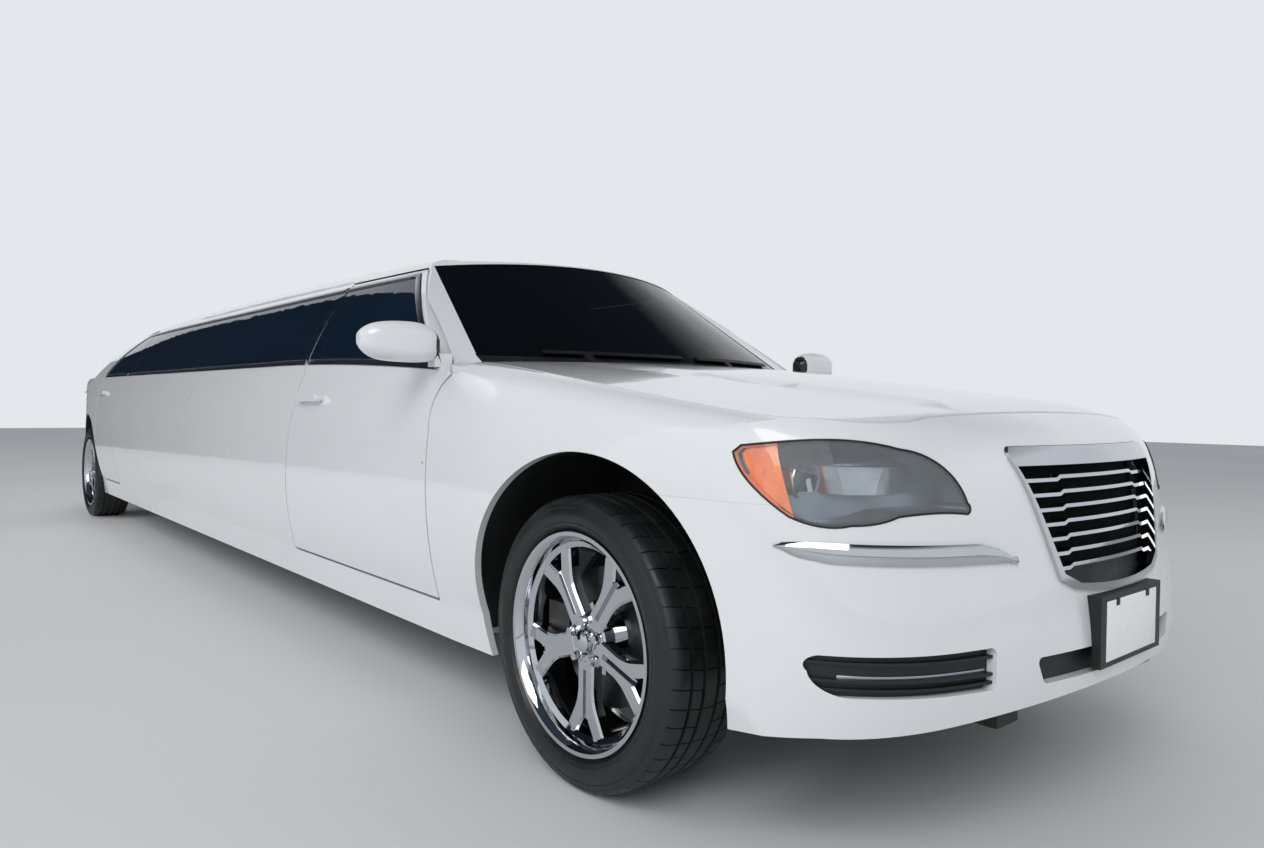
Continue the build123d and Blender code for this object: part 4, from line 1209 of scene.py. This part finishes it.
def between(table: Sequence[Flat], value: float) -> float:
    """Reads a table of pairs in a straight line between its rows."""
    for (x0, y0), (x1, y1) in zip(table, table[1:]):
        if value <= x1:
            return y0 + (y1 - y0) * max(0.0, (value - x0) / (x1 - x0))
    return table[-1][1]


@dataclass
class NoseDress:
    """Black sheet of painted shade behind the grille, silver bars of the lower intakes and the front plate's
    blank.
    """

    tips: tuple[Flat, ...] = ((0.450, 0.912), (0.600, 0.892), (0.865, 0.826))
    halves: tuple[Flat, ...] = ((0.556, 0.19), (0.572, 0.238), (0.60, 0.266), (0.835, 0.372))
    nose_radius: float = 1.8
    back_depth: float = 0.034

    def grille_back(self) -> None:
        """Black panel behind the grille's bars, painted shade for the dark inside of the nose."""
        low, high = self.halves[0][0], self.halves[-1][0]

        def place(u: float, v: float) -> Vector:
            """Point of the panel behind the bars."""
            z = low + (high - low) * v
            y = (2 * u - 1) * between(self.halves, z)
            round_off = self.nose_radius - math.sqrt(self.nose_radius**2 - y * y)
            return Vector((FRONT_AXLE + between(self.tips, z) - round_off - self.back_depth, y, z))

        panel = sheet("grille_back", 24, 18, place)
        modify(panel, "SOLIDIFY", thickness=0.003, offset=0.0)
        # the panel's near black is painted shade
        dress(smooth(panel, 40), GRILLE_PAINTED_SHADE, "body")

    def plate(self) -> None:
        """White blank on the front plate's frame, held by two dark tabs."""
        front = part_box("front_plate")[1].x
        blank = block(
            "front_plate_blank", (front - 0.002, -0.141, 0.387), (front + 0.0012, 0.141, 0.522), 0.0012,
        )
        dress(smooth(blank, 40), PLATE, "body")
        tabs = [
            block("tab", (front - 0.001, y - 0.009, 0.508), (front + 0.003, y + 0.009, 0.5235), 0.0015)
            for y in (-0.085, 0.085)
        ]
        dress(smooth(joined("front_plate_tabs", tabs), 40), BLACK_PLASTIC, "body")

    def intake_bars(self, skin: Skin) -> None:
        """Thin silver bar along each side intake."""
        for side in Side:
            hits = [skin.front(side.value * (0.490 + 0.280 * i / 14), 0.411) for i in range(15)]
            name = f"intake_bar_{side.name.lower()}"
            bar = ribbon(name, [h[0] for h in hits], [h[1] for h in hits], 0.009, 0.004)
            dress(bar, BRIGHT_TRIM, "body")

    def build(self, skin: Skin) -> None:
        """Adds the nose's small pieces."""
        self.grille_back()
        self.plate()
        self.intake_bars(skin)


@dataclass
class BrowTrims:
    """Convex chrome strips below the headlamps; the tables pair a distance from the middle with a height."""

    tops: tuple[Flat, ...] = (
        (0.402, 0.630), (0.446, 0.656), (0.500, 0.670), (0.806, 0.676), (0.829, 0.673), (0.837, 0.665),
    )
    bottoms: tuple[Flat, ...] = (
        (0.402, 0.629), (0.442, 0.6285), (0.780, 0.6345), (0.818, 0.6445), (0.837, 0.663),
    )
    crown: float = 0.0045
    thick: float = 0.0095

    def build(self, skin: Skin) -> None:
        """Lays a crowned strip over each packed one and lets it stand for it."""
        strips = []
        for side in Side:

            def place(u: float, v: float, way: int = side.value) -> Vector:
                """Point of the crowned face."""
                y = self.tops[0][0] + (self.tops[-1][0] - self.tops[0][0]) * v
                low, high = between(self.bottoms, y), between(self.tops, y)
                spot, normal = skin.front(way * y, low + (high - low) * u)
                return spot + normal * self.crown * (math.sin(math.pi * u) ** 0.7 - 0.35)

            strip = outward(sheet("brow", 8, 60, place))
            if sum(face.normal.x for face in strip.data.polygons) < 0:
                strip.data.flip_normals()
            strips.append(modify(strip, "SOLIDIFY", thickness=self.thick, offset=-1.0))
        whole = joined("brow_strips", strips)
        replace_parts(dress(smooth(whole, 55), CHROME, "body"), "brow_trims")


@dataclass
class RearDeck:
    """Painted deck between the rear glass and the boot lid."""

    boot_edge: float = REAR_AXLE - 0.357
    half: float = 0.568
    top: float = 1.1785
    fall: float = 0.033
    thick: float = 0.012
    glass_edge: tuple[Flat, ...] = (
        (0.0, 0.262), (0.20, 0.255), (0.40, 0.229), (0.50, 0.208), (0.60, 0.183),
    )

    def build(self) -> None:
        """Closes the body between the glass and the lid."""

        def place(u: float, v: float) -> Vector:
            """Point of the deck's top."""
            y = (2 * v - 1) * self.half
            ahead = REAR_AXLE - between(self.glass_edge, abs(y))
            return Vector((self.boot_edge + (ahead - self.boot_edge) * u, y, self.top - self.fall * y * y))

        deck = outward(sheet("rear_deck", 6, 24, place))
        if deck.data.polygons[10].normal.z < 0:
            deck.data.flip_normals()
        modify(deck, "SOLIDIFY", thickness=self.thick, offset=-1.0)
        dress(smooth(deck, 40), PAINT, "body")


@dataclass
class DoorMirror:
    """Mirror glass in each door mirror and the black sail behind it; the dark foot is painted with the
    door's panel.
    """

    middle: float = FRONT_AXLE - 0.792
    sail: tuple[Flat, Flat, Flat] = (
        (FRONT_AXLE - 0.812, 1.074), (FRONT_AXLE - 1.000, 1.098), (FRONT_AXLE - 0.968, 1.165),
    )

    def glass(self, side: Side) -> None:
        """Silvered glass on the rear face of the mirror."""

        def place(u: float, v: float) -> Vector:
            """Point of the glass, drawn in at its corners."""
            across, up = 2 * u - 1, 2 * v - 1
            square = math.hypot(across, up) / (max(abs(across), abs(up)) or 1.0) or 1.0
            across, up = across / square**0.55, up / square**0.55
            y = 1.005 + across * 0.078
            x = self.middle - 0.0475 - 0.0012 * (across**2 + up**2)
            return Vector((x, side.value * y, 1.131 + up * 0.040))

        glass = sheet(f"mirror_glass_{side.name.lower()}", 12, 8, place)
        modify(glass, "SOLIDIFY", thickness=0.003, offset=0.0)
        bevel(glass, 0.001, 2, 50)
        dress(smooth(glass, 40), MIRROR, f"front_door_{side.name.lower()}")

    def sail_panel(self, skin: Skin, side: Side) -> None:
        """Black three-cornered panel at the front of the door's window."""

        first, second, third = [skin.side(x, z, side) for x, z in self.sail]
        lift = second[1] * 0.0022

        def place(u: float, v: float) -> Vector:
            """Point of the three-cornered face."""
            edge = second[0].lerp(third[0], v)
            return first[0].lerp(edge, u) + lift

        panel = sheet(f"mirror_sail_{side.name.lower()}", 8, 8, place)
        outward(panel)
        if panel.data.polygons[10].normal.y * side.value < 0:
            panel.data.flip_normals()
        modify(panel, "SOLIDIFY", thickness=0.0035, offset=1.0)
        dress(smooth(panel, 40), GLOSS_BLACK, f"front_door_{side.name.lower()}")

    def build(self, skin: Skin) -> None:
        """Adds both mirrors' pieces."""
        for side in Side:
            self.glass(side)
            self.sail_panel(skin, side)


@dataclass
class Cushion:
    """A padded cushion, blown up as cloth and then sewn in channels; its copies stand at the other places.

    places holds the middle of each copy and its lean about the y axis.
    """

    name: str
    size: Point
    places: list[tuple[Point, float]]
    channels: int = 4
    channel_axis: int = 1
    swell: float = 0.014
    voxel: float = 0.011
    groove: float = 0.007

    def blow(self, piece: bpy.types.Object) -> None:
        """Remeshes the piece, lets the pressure of its filling swell it and caps its travel."""
        modify(piece, "REMESH", mode="VOXEL", voxel_size=self.voxel)
        before = [vertex.co.copy() for vertex in piece.data.vertices]
        take(piece)
        cloth = piece.modifiers.new("filling", "CLOTH")
        cloth.settings.use_pressure = True
        cloth.settings.uniform_pressure_force = 4.0
        cloth.settings.effector_weights.gravity = 0.0
        for frame in range(1, 21):
            bpy.context.scene.frame_set(frame)
        bpy.ops.object.modifier_apply(modifier=cloth.name)
        bpy.context.scene.frame_set(1)
        for vertex, start in zip(piece.data.vertices, before):
            way = vertex.co - start
            if way.length > self.swell:
                vertex.co = start + way.normalized() * self.swell

    def sew(self, piece: bpy.types.Object) -> None:
        """Draws the sewn channels into the filled form."""
        half = [s / 2 for s in self.size]
        axis = self.channel_axis
        for vertex in piece.data.vertices:
            share = vertex.co[axis] / half[axis]
            wave = math.cos(share * self.channels * math.pi)
            depth = self.groove * max(0.0, wave) ** 40
            if abs(share) < 0.93:
                vertex.co -= vertex.normal * depth

    def build(self) -> list[bpy.types.Object]:
        """Makes the cushion and its copies.

        Returns:
            One finished piece for each place.
        """
        deselect()
        bpy.ops.mesh.primitive_cube_add(size=1)
        piece = started(self.name)
        piece.scale = [s - 2 * self.swell for s in self.size]
        settle(piece)
        bevel(piece, min(0.045, min(self.size) * 0.28), 4)
        self.blow(piece)
        if self.channels > 1:
            self.sew(piece)
        modify(piece, "SUBSURF", levels=1, render_levels=1)
        smooth(piece, 60)
        found = []
        for index, (middle, lean) in enumerate(self.places):
            take(piece)
            bpy.ops.object.duplicate()
            copy = started(f"{self.name}_{index}")
            copy.rotation_euler = (0, lean, 0)
            copy.location = middle
            found.append(settle(copy))
        discard(piece)
        return found


@dataclass
class Cabin:
    """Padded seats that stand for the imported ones."""

    floor: float = 0.288

    def front_row(self) -> list[Cushion]:
        """Driver's and passenger's seats."""
        x, z = FRONT_AXLE, self.floor
        seats = (-0.38, 0.38)
        return [
            Cushion(
                "front_cushion", (0.53, 0.50, 0.225), [((x - 1.785, y, z + 0.176), 0.0) for y in seats],
            ),
            Cushion(
                "front_back", (0.125, 0.485, 0.65),
                [((x - 2.06, y, z + 0.56), math.radians(-14)) for y in seats], 5, 2,
            ),
            Cushion(
                "front_headrest", (0.088, 0.25, 0.145), [((x - 2.15, y, z + 0.93), 0.0) for y in seats], 1,
            ),
        ]

    def rear_bench(self) -> list[Cushion]:
        """Full-width bench at the back."""
        x, z = REAR_AXLE, self.floor
        return [
            Cushion("rear_cushion", (0.40, 1.17, 0.14), [((x + 0.86, 0.0, z + 0.268), 0.0)], 6),
            Cushion(
                "rear_base", (0.335, 0.45, 0.19), [((x + 0.88, y, z + 0.098), 0.0) for y in (-0.36, 0.36)],
                1, swell=0.004,
            ),
            Cushion("rear_back", (0.15, 1.17, 0.48), [((x + 0.578, 0.0, z + 0.555), 0.0)], 6),
        ]

    def lounge(self) -> list[Cushion]:
        """Long side seat of the stretched cabin, in three lengths."""
        start, end, z = REAR_AXLE + 1.5, FRONT_AXLE - 2.7, self.floor
        length = (end - start) / 3
        middles = [start + length * (i + 0.5) for i in range(3)]
        return [
            Cushion(
                "lounge_cushion", (length - 0.004, 0.345, 0.145),
                [((x, 0.434, z + 0.249), 0.0) for x in middles], 5, 0,
            ),
            Cushion(
                "lounge_back", (length - 0.004, 0.08, 0.46), [((x, 0.649, z + 0.53), 0.0) for x in middles],
                5, 0, 0.010,
            ),
            Cushion(
                "lounge_base", (end - start - 0.004, 0.41, 0.178),
                [(((start + end) / 2, 0.47, z + 0.091), 0.0)], 1, 0, 0.003,
            ),
        ]

    def build(self) -> None:
        """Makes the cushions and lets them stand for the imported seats."""
        rows = (
            ("front_seats", self.front_row()), ("rear_seat", self.rear_bench()),
            ("lounge_seat", self.lounge()),
        )
        for node, cushions in rows:
            pieces = [piece for cushion in cushions for piece in cushion.build()]
            for piece in pieces:
                dress(piece, LEATHER, "body")
            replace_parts(pieces[0], node)


@dataclass
class Studio:
    """Pale floor, soft lamps and the camera at the photograph's place."""

    eye: Point = (5.105, -2.209, 0.940)
    yaw: float = 139.72
    pitch: float = -1.09
    roll: float = 0.73
    lens: float = 25.2
    floor_size: float = 60.0
    room_light: float = 0.55
    wall: str = "#E4E8EC"
    ceiling: str = "#39414B"
    mix_sockets: tuple[int, int, int] = (0, 6, 7)
    card: tuple[float, float, float, float] = (-12.0, -0.9, -22.0, 15.0)

    def floor(self) -> None:
        """Lays a pale floor."""
        deselect()
        bpy.ops.mesh.primitive_grid_add(x_subdivisions=4, y_subdivisions=4, size=self.floor_size)
        floor = started("studio_floor")
        finish = Finish(
            "pale_vinyl_floor", "#D5D6D7", "#D0D1D2", 0.6, mottle_mm=3000, grain_mm=20, relief_mm=0.1,
        )
        floor.data.materials.append(finish.material())
        floor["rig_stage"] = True

    def lamps(self) -> None:
        """Hangs three large soft lamps."""
        rows = (
            ("key_lamp", (7.5, -7.0, 6.5), (2.0, 0.0, 0.6), 6.0, 430.0, True),
            ("fill_lamp", (9.0, 6.0, 4.5), (3.0, 0.0, 0.6), 5.0, 150.0, False),
            ("side_lamp", (-4.0, -9.0, 5.0), (-1.8, 0.0, 0.8), 8.0, 480.0, False),
        )
        for name, place, aim, size, power, mirrored in rows:
            deselect()
            bpy.ops.object.light_add(type="AREA", location=place)
            lamp = bpy.context.active_object
            lamp.name = name
            lamp.data.size = size
            lamp.data.energy = power
            lamp.visible_glossy = mirrored
            lamp.rotation_euler = (Vector(aim) - Vector(place)).to_track_quat("-Z", "Y").to_euler()

    def room(self) -> None:
        """Lights the room evenly; mirrors and glass see its darker ceiling."""
        world = bpy.data.worlds.new("soft_room")
        bpy.context.scene.world = world
        world.use_nodes = True
        tree = world.node_tree
        background = tree.nodes["Background"]
        path = add_node(tree, "ShaderNodeLightPath")
        seen = path.outputs["Is Camera Ray"]
        for other in ("Is Glossy Ray", "Is Transmission Ray"):
            seen = add_node(
                tree, "ShaderNodeMath", {"operation": "MAXIMUM"}, {0: seen, 1: path.outputs[other]},
            ).outputs[0]
        level = add_node(tree, "ShaderNodeMapRange", {3: self.room_light, 4: 1.0}, {0: seen})
        tree.links.new(level.outputs[0], background.inputs[1])
        way = add_node(tree, "ShaderNodeTexCoord").outputs["Generated"]
        height = add_node(tree, "ShaderNodeSeparateXYZ", links={0: way}).outputs["Z"]
        shown = ramp(tree, height, ((0.0, self.wall), (0.44, self.wall), (0.66, self.ceiling)))
        mix = add_node(tree, "ShaderNodeMix", {"data_type": "RGBA"})
        factor, plain, high = (mix.inputs[i] for i in self.mix_sockets)
        plain.default_value = linear(self.wall)
        tree.links.new(seen, factor)
        tree.links.new(shown, high)
        tree.links.new(mix.outputs[2], background.inputs[0])

    def flag(self) -> None:
        """Stands a dark card behind and beside the car, where the side glass mirrors it."""
        deselect()
        bpy.ops.mesh.primitive_grid_add(x_subdivisions=2, y_subdivisions=2, size=1)
        card = started("studio_flag")
        (x, y0, y1, z1) = self.card
        for vertex in card.data.vertices:
            vertex.co = (x, y0 + (y1 - y0) * (vertex.co.x + 0.5), z1 * (vertex.co.y + 0.5))
        finish = Finish(
            "black_flag_cloth", "#0E141D", "#0C1119", 0.9, mottle_mm=900, grain_mm=4, relief_mm=0.1,
        )
        card.data.materials.append(finish.material())
        card.visible_camera = False
        card.visible_diffuse = False
        card.visible_shadow = False
        card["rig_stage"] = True

    def camera(self) -> None:
        """Puts the camera where the photograph was taken."""
        yaw, pitch, roll = (math.radians(a) for a in (self.yaw, self.pitch, self.roll))
        ahead = Vector((math.cos(pitch) * math.cos(yaw), math.cos(pitch) * math.sin(yaw), math.sin(pitch)))
        right = ahead.cross(Vector((0, 0, 1))).normalized()
        up = right.cross(ahead)
        turned = right * math.cos(roll) + up * math.sin(roll)
        upright = up * math.cos(roll) - right * math.sin(roll)
        rows = Matrix((turned, upright, -ahead)).transposed().to_4x4()
        rows.translation = Vector(self.eye)
        deselect()
        bpy.ops.object.camera_add()
        camera = bpy.context.active_object
        camera.name = "photo_camera"
        camera.matrix_world = rows
        camera.data.lens = self.lens
        camera.data.sensor_width = 36.0
        camera.data.clip_end = 200.0
        bpy.context.scene.camera = camera

    def build(self) -> None:
        """Sets the whole studio."""
        self.floor()
        self.flag()
        self.lamps()
        self.room()
        self.camera()
        bpy.context.scene.view_settings.view_transform = "Standard"


def corners(box: tuple[Vector, Vector]) -> list[list[float]]:
    """A box as plain lists of numbers."""
    return [[round(v, 5) for v in corner] for corner in box]


def main() -> None:
    """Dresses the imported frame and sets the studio."""
    logging.basicConfig(level=logging.INFO, format="%(message)s")
    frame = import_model()
    packed = corners(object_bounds())
    outside = [n for n in frame["nodes"] if not n.startswith(("wheel", "tyre", "knuckle"))]
    skin = Skin(frame["nodes"][n] for n in outside)
    Studio().build()
    PackedBody().dress(frame)
    Panels().build(frame)
    WindowTrim().build(skin)
    for side in Side:
        for end in ("front", "rear"):
            Tyre().build(end, side)
            WheelDress().build(frame, end, side)
    Headlamps().build(frame, skin)
    NoseDress().build(skin)
    BrowTrims().build(skin)
    RearDeck().build()
    DoorMirror().build(skin)
    Cabin().build()
    {"cad": packed, "visual": corners(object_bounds())}


if __name__ == "__main__":
    main()
